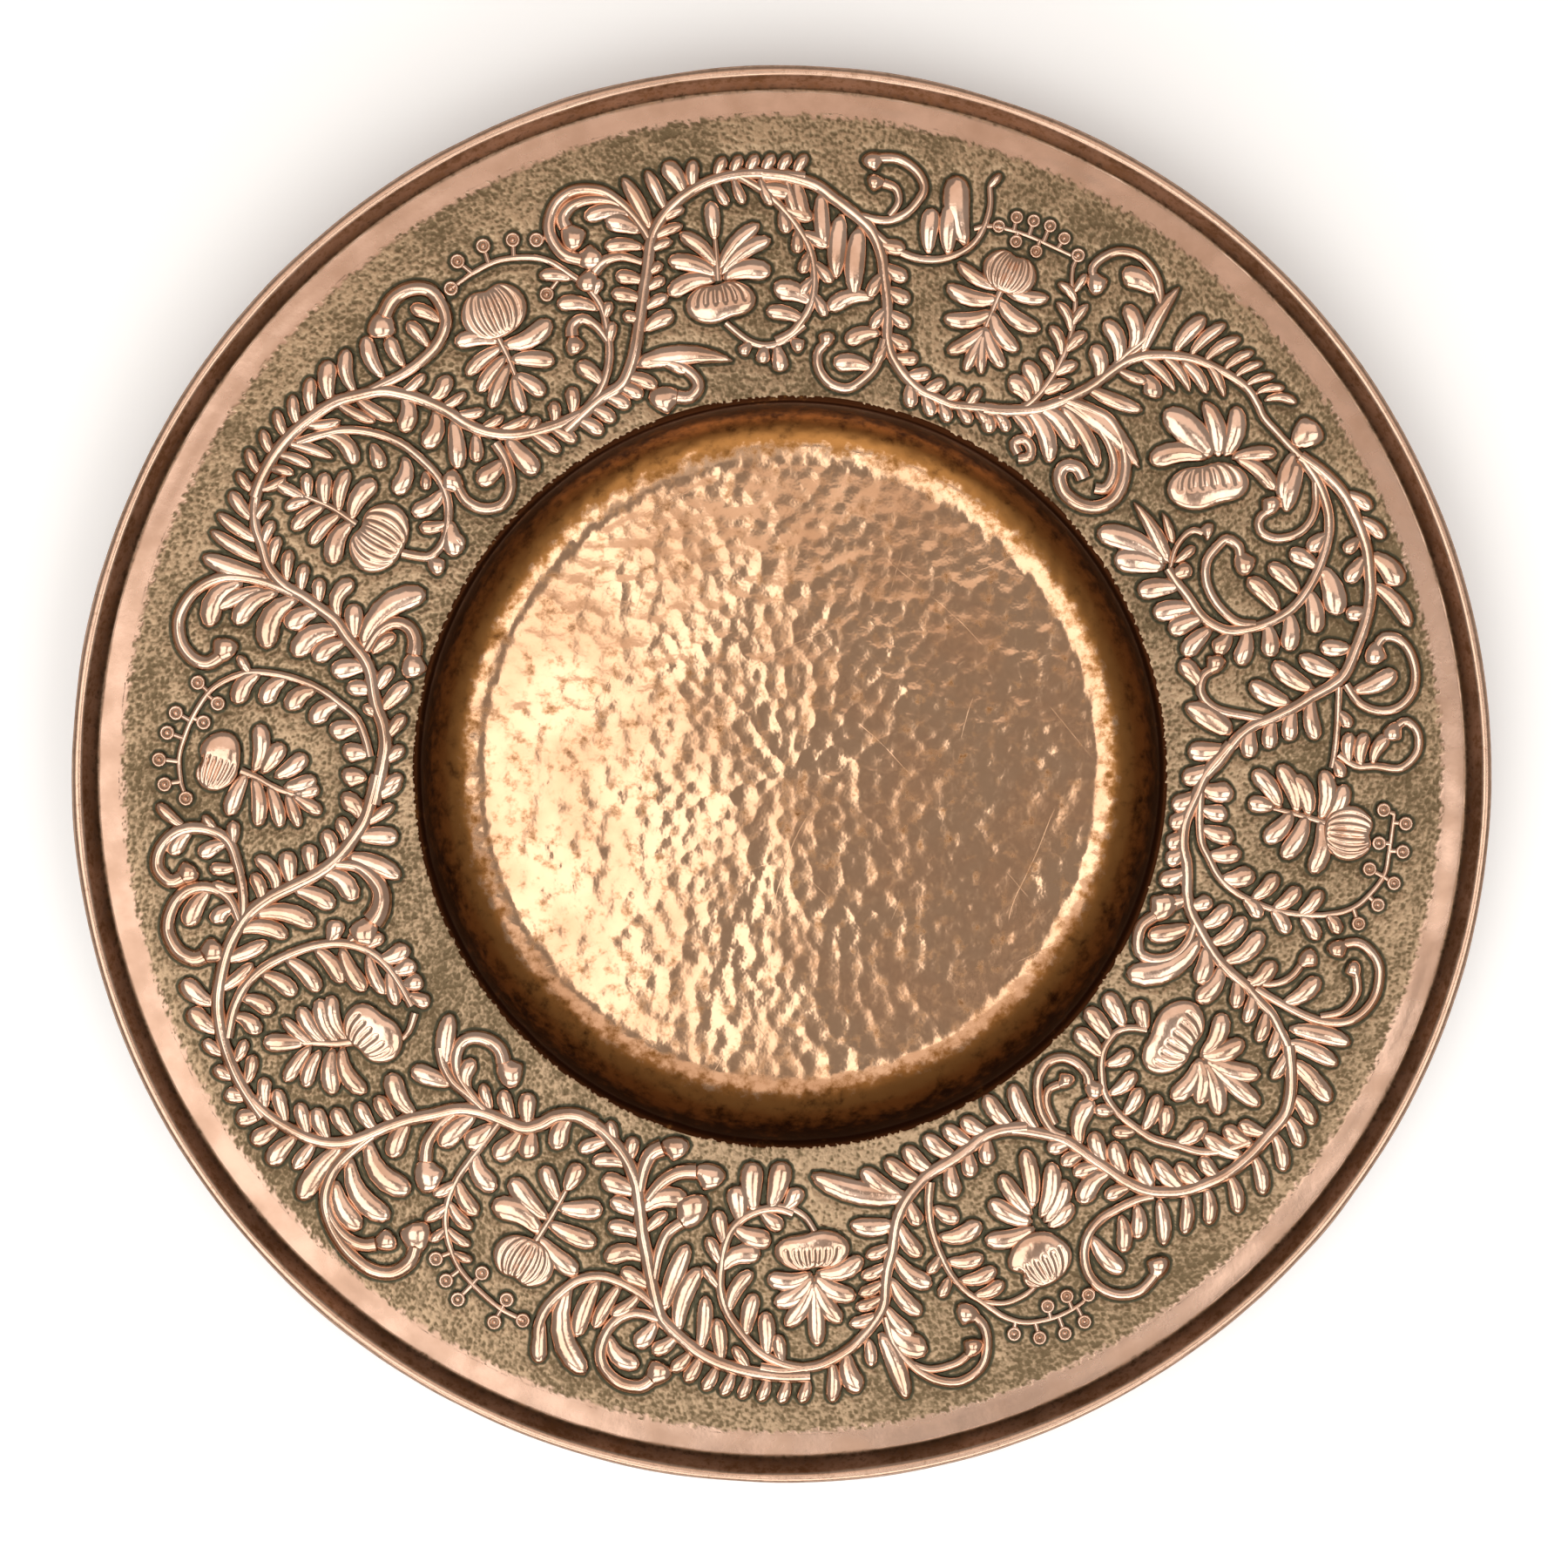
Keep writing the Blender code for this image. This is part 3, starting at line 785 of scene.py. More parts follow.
# From 148 to 182 degrees: the out-going stem from the well, a berry spray and a two-lobed fruit.
Stem(
    (184, 141.5), (180, 139), (176, 137.6), (173, 139), (171, 141.5), (169, 143.6), (166, 146.5),
    (164.2, 150.5), (162.6, 156.5), (161, 162), (160.2, 168), (159.5, 175), (159, 182.5), (157.8, 189),
    (156, 193.8), (154.4, 198.6), (152.4, 202), (150.5, 203.6), width=(4.6, 3.6),
)
Stem(
    (159.6, 178), (159.4, 189), (159.9, 199), (161, 205.5), (162.7, 210), (165, 212), (167.2, 209.5),
    (168.5, 204.5), (168.7, 199.5), (167.8, 196), width=(3, 4.4),
).bulb(9, 44)
Stem(
    (177.5, 142.6), (175, 144.5), (172.5, 148), (170.9, 154), (169.7, 160), (169, 166), (168.6, 175),
    (168.8, 184), (169.4, 189), (170.4, 194), (171.5, 197.5), (173.5, 201), (175.5, 203.5), (178, 205.5),
    (180.5, 204.8), width=(3, 1.6),
)
Stem(
    (163.5, 149.5), (160.8, 147.5), (158.9, 143.5), (158.8, 138.5), (160.3, 135), (162.2, 134),
    width=(3, 5),
).bulb(9, 30)
Stem((179.3, 185), (180, 180), (181.2, 174), (182.2, 167), width=(2.6, 1.8))
leaf_list(
    (160.2, 195, 165.2, 200.4, 6.6, 56, 0), (160.1, 188, 163.4, 200.4, 4.8, 16, 0.2),
    (160, 183, 164.5, 192.6, 6.2, 40, 0), (160, 176, 166, 180, 7.2, 56, 0),
    (160.5, 168, 163.5, 176.2, 6.4, 30, 0), (162.2, 159.4, 166.4, 171, 6.8, 50, 0),
    (163.2, 156.6, 166.4, 164.6, 6, 30, 0.1), (165.6, 147.6, 167.4, 158.6, 6.4, 20, 0.1),
    (168.5, 144, 168.9, 153, 5.8, 14, 0.4), (171.8, 140.6, 170.8, 146.8, 4.4, 10, 0.5),
    (156.2, 193, 153.2, 193.6, 4.2, -16, 0.2), (157.6, 188, 154.4, 189.6, 4.2, -16, 0.2),
    (158.5, 181.5, 155.2, 184.6, 4.4, -14, 0.2), (159, 176, 156, 178, 4.6, -14, 0.2),
    (159.6, 169, 156.8, 171.6, 4.8, -14, 0.2), (160.5, 161, 155.9, 160.4, 5.4, -60, 0),
    (162.4, 154, 158.2, 158, 6, -10, 0.1), (163.4, 150.6, 153.6, 137, 7.6, -44, 0, 1.15),
    (163.7, 147, 160.4, 141.2, 4.8, -20, 0.2), (168.4, 143, 164.6, 139.2, 5.2, -10, 0.3),
    (171, 140, 166.4, 132.4, 5.8, -10, 0.2), (175, 137.6, 171.2, 131.8, 4.8, -12, 0.2),
    (178.4, 138, 176, 131, 4.8, -12, 0.2), (182.6, 139.5, 180.2, 131.4, 4.8, -12, 0.2),
    (158.9, 187, 159, 211, 6.2, -6, 0.3), (157.4, 190.4, 156.5, 211.6, 4.8, -8, 0.3),
    (155.7, 195, 154.8, 211.8, 4.8, -8, 0.3), (154, 199.6, 152.4, 211, 5, -14, 0.2),
    (154.6, 199, 151.6, 197.4, 3.6, -20, 0.3), (151.2, 203, 148.8, 197, 3.8, 20, 0.3),
    # the berry stem's bell-shaped leaves
    (173.7, 146.6, 174.9, 156, 6.2, 20, 0), (171, 154, 173.8, 161, 6.2, 50, 0),
    (169.8, 162.4, 172.5, 169.6, 6.2, 50, 0), (169, 172.6, 172.1, 178, 6, 44, 0),
    (168.9, 181.6, 172.4, 187, 6, 44, 0), (177.4, 143, 177.4, 151.4, 6.2, 30, 0),
    (180.6, 143.6, 180.6, 151.4, 6.2, 30, 0), (168.9, 185, 167.3, 190, 3.8, -10, 0.3),
    # palmette of the two-lobed fruit
    (179.4, 181, 174.2, 180.4, 5.8, 30, 0.1), (179.6, 178, 176.2, 171, 5.8, -4, 0.1),
    (180, 174, 177.3, 163.6, 5.8, 16, 0.1), (181.2, 171, 180.2, 160, 5.4, 14, 0.2),
    (179.5, 183, 184, 189.6, 5.6, 10, 0.1), (180, 181, 185.4, 180.6, 5.4, -20, 0.2),
    (181, 176, 185.8, 173, 5, -12, 0.2), (182, 170, 186, 166.6, 4.6, 0, 0.3),
    (182.2, 168, 184.6, 158.6, 5, 0, 0.3), (182, 167.6, 181.4, 159, 5, 10, 0.2),
)
fruit(178.3, 192.4, 20, 16, 21, "lobed")
berry_spray(
    (180.5, 210.2), (178.2, 212), (175.7, 209.7), (173.8, 207.4), (170.7, 201.5), (174.5, 198),
    (172.5, 194), (181.9, 203.3),
)

# From 178 to 212 degrees: the in-coming stem, two scrolls side by side, and a loop with its fruit.
Stem(
    (213, 212), (210.5, 212.4), (208, 212.2), (205, 210.8), (202, 208), (199.5, 203.6), (197, 198),
    (195.1, 192), (194, 187), (193.1, 180), (192.5, 172), (191.7, 163), (190.4, 156), (188.4, 150),
    (186, 145), (183, 142), (180, 140), width=(4.2, 4.4),
)
Stem(
    (205, 209), (202.8, 203.5), (201.1, 197), (200.1, 189.5), (199.7, 181), (199.7, 172), (200.3, 164),
    (201.5, 158), (203.2, 154), (205.5, 151.4), (208.5, 150.4), (211.5, 150.6), width=(3.4, 3),
)
Stem(
    (194.7, 192), (192.2, 193.6), (190.8, 199), (190.6, 206), (191.7, 212), (193.7, 215.6),
    (195.8, 214.4), (197, 210), (197, 206.6), width=(3.2, 5),
).bulb(9, 10)
Stem(
    (194.8, 190.8), (192, 188.7), (189, 188.7), (186.5, 190.6), (185.2, 196), (184.8, 203), (185.3, 209),
    (186.6, 213.6), (188.2, 214.8), (189.5, 211.4), (189.3, 207.4), width=(3.2, 4.6),
).bulb(8, 20)
Stem(
    (191, 157), (191.9, 150), (193.8, 146), (196, 144.4), (198.2, 146.6), (199.3, 150), width=(3.2, 7),
).bulb(10, 0)
Stem((211.6, 172), (210.7, 178), (209.5, 184), (208.8, 188), width=(3.4, 2))
leaf_list(
    (212.5, 212.4, 212, 220, 5, -14, 0.2), (210.4, 212.6, 209.2, 218, 4.6, -20, 0.2),
    (208.6, 212.6, 206.8, 217.4, 4.8, -20, 0.2), (206.3, 212, 204.2, 216.6, 4.6, -20, 0.2),
    (204.2, 210.6, 201.1, 216.8, 6.2, -16, 0), (201.6, 208.4, 198.4, 215.4, 6.2, -24, 0),
    (211.8, 211, 210, 204, 4.6, 16, 0.2), (209.6, 211, 207.4, 204.2, 4.6, 16, 0.2),
    (207.3, 210.8, 205.8, 204, 4.4, 16, 0.3), (203.5, 204.6, 206, 200.4, 5.6, -50, 0),
    (202.2, 199.6, 204.8, 192.4, 5.6, -30, 0.1), (200.6, 191, 204.1, 183, 5.8, -24, 0.1),
    (200, 181.6, 204.8, 175.6, 5.8, -24, 0.1), (200, 171.4, 205.1, 167, 5.8, -20, 0.1),
    (201, 162.6, 207.1, 161, 5.8, 20, 0.1), (203, 155.4, 208.6, 156, 4.8, 20, 0.2),
    (206, 151.4, 210.6, 154.6, 4.8, 10, 0.2), (210, 150, 212.6, 145, 5, 0, 0.1),
    (208.5, 149.8, 209.2, 142.8, 5.4, 10, 0), (206.4, 150.6, 206.5, 142.4, 5.4, 20, 0),
    (204.2, 153, 203.9, 142.4, 5.8, 30, 0), (202.2, 155, 201.4, 148.2, 4.6, 0, 0.1),
    (200.7, 160, 199.8, 154, 4.4, 0, 0.1), (200, 166, 197.7, 160.8, 5.8, 10, 0),
    (200.6, 205.6, 199.2, 191.6, 4.8, 8, 0.4), (198, 200.6, 197.6, 184.6, 5.6, 8, 0.4),
    (195.8, 194.4, 198, 178.4, 5.6, -40, 0.1), (194.6, 187, 197.8, 168.6, 6.4, -34, 0.1, 1.1),
    (193, 172.4, 196.3, 160.6, 6.2, -20, 0.1), (191.8, 162.6, 196.2, 154.6, 6.4, -50, 0),
    (190.4, 153, 195, 136.8, 6.4, -16, 0.3), (188.2, 148.4, 189.2, 134.6, 6.4, -10, 0.2),
    (186.6, 145, 184.3, 134.6, 4.4, 0, 0.3), (183.2, 141.6, 180.6, 132.4, 5.2, 10, 0.1),
    (193.7, 183.6, 190.2, 184.8, 4.8, 30, 0.1), (193.1, 178.6, 188.7, 183, 5, 50, 0),
    (192.3, 172.6, 188.4, 172, 5.8, 0, 0), (191.5, 165, 188, 164.4, 5.2, 0, 0),
    (190.6, 158.6, 186.8, 159.6, 5.4, 40, 0), (188.7, 152.6, 185.5, 154.4, 4.8, 40, 0),
    (186, 146.4, 183.1, 152.6, 6.2, 50, 0), (191, 199, 194, 209, 6.2, 20, 0),
    (193.4, 192.8, 194.4, 200, 5.4, 40, 0), (185, 202, 187.2, 209.6, 5.2, 20, 0),
    (186.7, 190.8, 187.7, 200.6, 5.2, 20, 0), (189.2, 189.4, 188.8, 198, 4.6, -20, 0.2),
    (191.5, 189.4, 190.3, 198, 4, -24, 0.2), (184.7, 204, 182.2, 213, 4.2, -10, 0.1),
    (185.3, 193.6, 183.6, 198, 3.4, -10, 0.2), (187, 189.4, 184.4, 188.4, 4.4, 10, 0.1),
    # palmette
    (211.2, 174, 205.7, 171.4, 5.6, -40, 0.1), (210.9, 177.4, 205.4, 175.6, 5.6, -30, 0.1),
    (210.2, 181, 205.2, 183, 5.4, -20, 0.1), (209.5, 185, 205.5, 190, 4.4, -10, 0.2),
    (208.9, 187, 206.9, 199.6, 6, 0, 0.1), (209.6, 186, 211.4, 199.4, 5, 10, 0.1),
    (210.5, 184, 213, 194.6, 5, 20, 0.1), (211, 180, 215.2, 188, 6, 24, 0.1),
    (211.4, 177, 217, 178.6, 5.8, 44, 0.1),
)
Stem((214.3, 160), (214, 156), (212.5, 151), width=(2, 2.6))
fruit(211.8, 166, 80, 23, 18, "kidney")

# From 208 to 242 degrees: the out-going stem and its tall scroll, the berry stem and a ribbed fruit.
Stem(
    (241, 136.6), (238, 137.4), (235.7, 141.4), (234.6, 146.6), (233, 150.8), (230, 153.2),
    (227.5, 155.8), (225.3, 160.4), (223.8, 167), (222.3, 174), (221.3, 181), (220.5, 189), (219.5, 196),
    (217.8, 202), (215.5, 206.6), (213, 210.4), (210.5, 212.4), width=(4.6, 3.8),
)
Stem(
    (221, 185), (220.8, 194), (221, 203), (221.9, 210), (223.2, 214.6), (225.2, 218), (227.6, 219.8),
    (230, 219.2), (231.7, 215.4), (232.3, 209), (231.8, 204), width=(3.4, 4.6),
).bulb(11, 40)
Stem(
    (222.6, 212), (224.2, 215.4), (226.3, 216.6), (228, 214.6), (228.8, 211.6), width=(2.6, 4.6),
).bulb(8, 20)
Stem((225.4, 160.6), (225.1, 168), (225.6, 175), (226.8, 180), width=(3, 4.6)).bulb(11, 60)
Stem((228.5, 154.4), (225, 154.4), (222.5, 155), (220, 153.6), (218, 151), width=(3.4, 3.4))
Stem(
    (226.4, 154), (222.6, 152.4), (220.6, 149.4), (219.4, 145), (219.7, 140.6), (221.4, 137.2),
    (223.5, 136.4), (225.2, 138.4), width=(3, 4.8),
).bulb(10, 60)
Stem(
    (230.2, 154), (230.4, 163), (230.5, 170), (230.7, 177), (231.3, 184), (232.3, 190), (233.7, 195),
    (235.3, 199), (237, 202), (239.5, 204.4), (242, 206), (244.2, 206), width=(3, 1.6),
)
Stem((241.7, 181), (241.9, 170), (241.9, 159), width=(2.6, 1.8))
leaf_list(
    (222, 205.6, 226.9, 210.4, 6.4, 34, 0), (221.3, 197, 228.2, 201.2, 7, 44, 0, 1.1),
    (221.2, 188.4, 227.8, 189.6, 7.4, 50, 0, 1.15), (222.5, 174.6, 224.2, 187, 6.4, 20, 0.1),
    (227.3, 157, 226.9, 173.4, 6.6, 6, 0.1), (229.8, 156, 229, 167.4, 6.6, -10, 0),
    (233, 151.6, 232.4, 164.6, 6.6, -16, 0), (234.4, 149.6, 236, 158, 6.2, 16, 0),
    (237.6, 138.4, 238.7, 150, 6.4, 40, 0), (218.6, 199, 215.1, 195.4, 5.6, -14, 0.1),
    (219.8, 191.4, 216.2, 190.4, 5.4, -20, 0.1), (220.8, 184.6, 217.2, 183, 5.2, -20, 0.1),
    (221.6, 178, 217.9, 176.6, 5.2, -20, 0.1), (222.4, 171.4, 216.9, 168, 6.4, -34, 0),
    (222.6, 156, 217.9, 163, 6.2, 0, 0.1), (217, 203.6, 213.7, 199.2, 5.2, 0, 0.2),
    (214.8, 207, 211.4, 203, 5, 0, 0.2), (212.6, 210, 209.8, 204.6, 4.6, 0, 0.2),
    (219.8, 196, 221.2, 219, 6.8, 16, 0), (217.8, 203, 218.6, 214, 5.2, 0, 0.3),
    (216.3, 206.4, 217, 219.4, 6.2, 16, 0), (214.5, 209, 214.4, 220, 5.6, 0, 0),
    (212.8, 211, 211.9, 220, 5.6, 0, 0), (210.8, 212.6, 209.4, 219, 4.4, -10, 0.1),
    (220.4, 154, 215.2, 141, 6.8, -10, 0.4, 1.1), (225, 153, 222.6, 144.6, 5.2, -60, 0),
    (228.5, 153, 225.2, 148, 4.4, -10, 0.3), (231.6, 151.4, 227.7, 145, 5.2, -10, 0.2),
    (233.6, 149.6, 230.6, 140.2, 5.8, -10, 0.1), (230.5, 166.6, 234.9, 171.4, 6.4, 50, 0),
    (230.9, 177.6, 235, 182.4, 5.4, 30, 0.1), (231.6, 185, 235.4, 187.6, 4.6, 24, 0.2),
    (233, 192.4, 236.2, 192.6, 3.8, 20, 0.3), (235, 198, 237.2, 196.6, 3.4, 10, 0.3),
    (231, 178, 229.8, 187, 4.4, -10, 0.3), (231.8, 186, 230.8, 195.2, 4.4, -10, 0.3),
    (233, 193, 232.6, 199.6, 3.8, -10, 0.3),
    # palmette of the ribbed fruit
    (241.7, 178.6, 247.4, 184, 6.2, 14, 0), (241.9, 173, 248, 172.4, 6.2, 10, 0.1),
    (242, 167, 247, 160.8, 6.4, 10, 0), (241.6, 178, 235.7, 179, 7.6, 44, 0),
    (241.7, 172, 235.5, 166.6, 6.4, -10, 0), (241.8, 165, 238, 157, 5.6, -10, 0.1),
    (241.9, 161, 241.9, 150.4, 6, 0, 0.1),
)
fruit(241.6, 188, 0, 17, 22, "ribbed")
berry_spray(
    (234.1, 203), (236.1, 207), (238, 210.2), (238.6, 198.5), (242, 202.2), (242, 210.8), (244.3, 206),
)

# From 238 to 272 degrees: the in-coming stem, its scroll and a tall branch, and a loop with its fruit.
Stem(
    (272.5, 205), (270, 205), (267, 204), (264, 202), (261.5, 199), (259.3, 194.8), (257.3, 190.6),
    (256.3, 186), (255.2, 179.6), (253.9, 172), (252.3, 163.5), (251, 156), (249.4, 148.6), (247.2, 143),
    (244.6, 139.4), (242, 137.4), (239.2, 137), width=(4.2, 4.4),
)
Stem(
    (257.2, 190.6), (254.6, 190.4), (252.9, 194), (252.2, 200), (252.3, 207), (253.3, 211.8),
    (255, 214.6), (256.8, 214), (257.6, 211), width=(3.2, 4.4),
).bulb(9, 20)
Stem(
    (256.4, 187), (254, 183.4), (251.6, 182), (249.5, 182.6), (247.6, 186.4), (246.4, 193), (245.8, 200),
    (246, 207), (247, 213.6), width=(3.4, 3.6),
)
Stem((255.4, 181), (255, 170), (255.3, 162), (256.6, 157.4), width=(3, 4)).bulb(12, 70)
Stem((251.7, 153), (252.7, 146), (254.6, 141.2), (256.8, 139.6), width=(3.6, 5)).bulb(10, -60)
Stem((250.3, 151), (249.8, 144), (250, 138), (251.2, 135), width=(3.6, 5.6)).bulb(9, -70)
Stem(
    (272.3, 202.6), (270, 201), (267.5, 197), (265.4, 190.6), (263.7, 184), (262.7, 177), (262.4, 170),
    (262.4, 163), (262.9, 157), (264.2, 152.4), (266.2, 149.4), (268.6, 148.4), (270.6, 150),
    width=(3.2, 3),
)
leaf_list(
    (272.2, 206, 271.5, 214, 4.4, -20, 0.2), (270.3, 206, 269.6, 214, 4.4, -20, 0.2),
    (268.4, 205.4, 267.7, 213.6, 4.4, -20, 0.2), (266.6, 204.8, 265.9, 213, 4.4, -20, 0.2),
    (265, 204, 264.2, 212.4, 4.4, -20, 0.2), (263.4, 203, 262.4, 211.4, 4.6, -20, 0.2),
    (261.7, 200.6, 260.6, 209.4, 5, -20, 0.2), (260.7, 199.4, 259.1, 206.4, 4.8, -20, 0.2),
    (259, 194.6, 256.9, 201.6, 5.2, -24, 0.1), (256.6, 191.4, 255.2, 201.2, 5.8, -20, 0),
    (252.7, 200, 256.2, 206, 6, 56, 0), (246, 203, 247.4, 217, 5.2, 10, 0),
    (247.2, 189, 251.8, 214.4, 7.2, 44, 0, 1.15), (249.6, 183.4, 249.7, 204.4, 6.2, 12, 0.2),
    (252, 182.8, 251, 199.8, 5.2, 10, 0.3), (254.2, 184, 252, 193.4, 4.8, -20, 0.2),
    (255.4, 180.6, 251.4, 178, 5.4, 0, 0.1), (253.8, 173, 249.7, 177.4, 6.2, 56, 0),
    (252.8, 165, 248.2, 166, 5.4, 16, 0.1), (251.8, 158, 247.2, 157.4, 5.4, 0, 0.1),
    (250.6, 151.6, 245.1, 152, 6.4, 0, 0), (248, 144.6, 243.1, 148.8, 5, 30, 0.2),
    (243.8, 139.6, 240.9, 147.4, 5, 16, 0.1), (259.2, 194, 260.2, 170.6, 6.4, -24, 0.2),
    (257.1, 188, 258.1, 163.6, 6.6, -6, 0.3), (261.6, 198.6, 261.1, 179.6, 5.6, 10, 0.3),
    (263.8, 201.4, 262.7, 186.6, 5.6, 6, 0.3), (266.6, 203, 264.8, 195.4, 4.4, 0, 0.4),
    (252.7, 163.6, 254.7, 155, 4.4, -10, 0.3), (251.7, 157.4, 256.6, 150.4, 6.6, -50, 0),
    (247.6, 143, 246.7, 134.6, 5, 0, 0.2), (245, 140, 242.4, 133.2, 4.4, 0, 0.3),
    (269.8, 200.6, 269.2, 190.6, 4.8, 0, 0.3), (268.2, 198.4, 267.7, 183, 5.8, 10, 0.2),
    (266, 192, 266.6, 177, 5.8, -10, 0.2), (264, 184.4, 266.2, 170, 5.4, -30, 0.2),
    (262.6, 171, 266.8, 165.4, 6.4, -56, 0), (263.2, 155.6, 268.1, 158.8, 6.4, 24, 0),
    (266.4, 149.6, 269.4, 155, 5.2, 10, 0), (262.7, 177, 260.2, 170, 3.8, 0, 0.3),
    (262.4, 169, 260.1, 160, 4.6, 0, 0.2), (262.4, 162, 260.7, 150.6, 5, 0, 0.1),
    (264, 154, 262.6, 141.6, 6.6, 0, 0), (265.6, 150, 264.8, 133, 7, -14, 0, 1.1),
    (267.6, 148.6, 268.8, 132.2, 7, 10, 0, 1.1), (269.4, 148.6, 271.3, 141, 5.4, 20, 0),
)

# From 268 to 302 degrees: the out-going stem, its scrolls, the berry stem and two kidney fruits.
Stem(
    (304, 145.2), (301, 141.5), (298.4, 140.4), (296.2, 141.5), (293, 143), (289.7, 144.4), (287.5, 147),
    (285.4, 151), (283.9, 156.2), (283.1, 161.4), (282.4, 167.1), (281.6, 171.8), (281, 178),
    (280.6, 183.4), (279.6, 188.1), (278, 193.1), (276.3, 197.4), (273.7, 201.4), (271.7, 202.4),
    (269.7, 203), (267.7, 202.2), width=(4.4, 3.2),
)
Stem(
    (289.2, 147.4), (288.2, 154), (287.7, 161), (287.7, 168), (288, 175), (288.5, 181), (289.5, 187.4),
    (290.5, 191.4), (291.5, 196.4), (292.5, 200.6), (294.1, 204.4), (296.6, 206.7), (298.5, 207),
    (299.7, 206.7), width=(3, 1.4),
)
Stem((290.7, 192), (292.7, 195.1), (294.6, 195.4), (296.1, 194.3), (297.4, 191.6), width=(1.8, 1.8))
Stem(
    (280.5, 188), (280.8, 195.8), (281.6, 202.1), (282.9, 208.4), (284.4, 213), (286.4, 215.4),
    (288.5, 213), (289.6, 207.4), (290, 200.4), (289.4, 195.4), width=(2.8, 3.2),
).bulb(8, 60)
Stem((281.7, 204), (283.9, 208.7), (286.4, 209.1), (287.7, 207.4), width=(2.2, 2.8)).bulb(7, 50)
Stem((273.5, 157), (272.2, 151.4), (270.4, 148.4), (268.6, 147.6), width=(2, 2.2))
leaf_list(
    (280.9, 190, 284.2, 201, 7.6, 44, 0), (279.7, 193, 281.3, 217, 6.6, -8, 0.4),
    (276.3, 198, 277.3, 211.5, 6.6, 34, 0, 1.2), (278.4, 194.4, 278.4, 204, 4.5, -10, 0.3),
    (274.6, 200.8, 274.4, 214.6, 5, -16, 0.2), (280.7, 184.2, 283.1, 196, 5.4, 24, 0.1),
    (281.8, 175.4, 284.4, 189.6, 5.7, 24, 0.1), (282.8, 167.8, 286.2, 180.5, 6.1, 36, 0),
    (283.9, 157, 285.8, 170.6, 5.7, 22, 0.1), (285.8, 151, 286.5, 160.4, 5.2, 16, 0.1),
    (279.7, 186.4, 276.6, 188.3, 4.5, -20, 0.3), (280.5, 181, 277.4, 183, 4.5, -20, 0.3),
    (280.9, 176, 277.9, 178.6, 4.5, -20, 0.3), (281.6, 170.4, 278.4, 173, 4.7, -20, 0.3),
    (282.4, 164.4, 279.2, 166.2, 4.7, -20, 0.3), (283.3, 157.4, 277.8, 154.6, 6.8, -24, 0.5),
    (286, 149.6, 273, 136.8, 8.3, -18, 0.5, 1.15), (285.3, 149.4, 280.4, 136.8, 6.4, -18, 0.2),
    (288, 146, 284, 135.2, 5.9, -20, 0.2), (290, 144.2, 287.2, 132.9, 5.9, -20, 0.2),
    (293.6, 142.4, 290.5, 131.4, 5.9, -20, 0.2), (296.5, 141, 293.7, 131, 5.7, -20, 0.2),
    (299.2, 140.6, 296.6, 131, 5.7, -20, 0.2), (292.7, 144, 291.9, 155.4, 5.7, 22, 0.1),
    (295.6, 142.6, 294.7, 151.2, 5.4, 20, 0.1), (298.7, 141.6, 297.3, 150, 5.4, 20, 0.1),
    (290, 188.6, 293.4, 187.6, 4.7, 30, 0.1), (289, 182, 293.2, 182.4, 5.2, 30, 0.1),
    (288.4, 174.4, 292.4, 177, 5.2, 30, 0.1), (288.2, 165.6, 293.4, 165.6, 6.1, 40, 0),
    (288.8, 155.6, 291.4, 162, 5.7, 30, 0.1), (287.8, 172, 285.8, 176.5, 4.2, -20, 0.2),
    (288, 180, 286.4, 185.5, 4.2, -20, 0.2),
    # palmette of the fruit at 298 degrees, which falls towards the well
    (298.8, 176, 293.1, 172, 6.4, -26, 0.2), (298.9, 174, 295.5, 160.4, 6.4, -22, 0.2),
    (299.2, 172, 298, 154.4, 5.9, -8, 0.2), (299.6, 170, 302.2, 150.8, 6.1, 12, 0.2),
    (299.9, 174, 304.2, 159.4, 6.4, 26, 0.2), (300, 176, 304.6, 167.1, 6.1, 28, 0.2),
    (300.2, 178, 303.8, 175, 5.7, 24, 0.2),
    # palmette of the fruit at 273 degrees
    (273.4, 170, 278.8, 166, 6.1, 40, 0.1), (273.3, 171, 277.8, 179, 6.4, 34, 0.2),
    (273.2, 173, 276, 187.6, 6.1, 20, 0.2), (273.2, 174, 273.3, 195.4, 5.9, 0, 0.2),
    (273, 173, 269.9, 188.1, 6.1, -20, 0.2), (272.9, 171, 268.6, 180, 6.4, -34, 0.2),
    (272.8, 170, 267.8, 171, 6.1, -40, 0.1),
)
fruit(297.8, 186.4, 90, 23, 19, "lobed")
fruit(273, 162.4, 90, 26, 15, "kidney")
berry_spray(
    (292.5, 206), (294.6, 210.6), (296.9, 213), (299, 212.6), (300.5, 205.2), (298.6, 202), (296.5, 202),
    size=2.6,
)

# From 298 to 332 degrees: the in-coming stem, two scrolls, and a long loop round the largest fruit.
Stem(
    (332, 194.5), (330.2, 199), (328.1, 203.6), (326.1, 206), (323.6, 205.4), (321, 204.8),
    (318.5, 203.2), (316.4, 200.4), (314.1, 196.6), (312.4, 192), (311.1, 187.4), (310.1, 181.1),
    (309.3, 173.4), (308.5, 166.4), (307.8, 160.1), (307, 155.4), (305.5, 150.7), (303.5, 145.8),
    (301, 141.4), width=(4.2, 3.8),
)
Stem(
    (311.3, 190.5), (309.8, 188), (307.8, 186.4), (305.7, 185.7), (303.7, 187.4), (302.2, 192),
    (301.5, 199), (301.9, 206), (303.2, 211.4), (305, 213.7), (307, 212), width=(3, 3.4),
).bulb(8, 50)
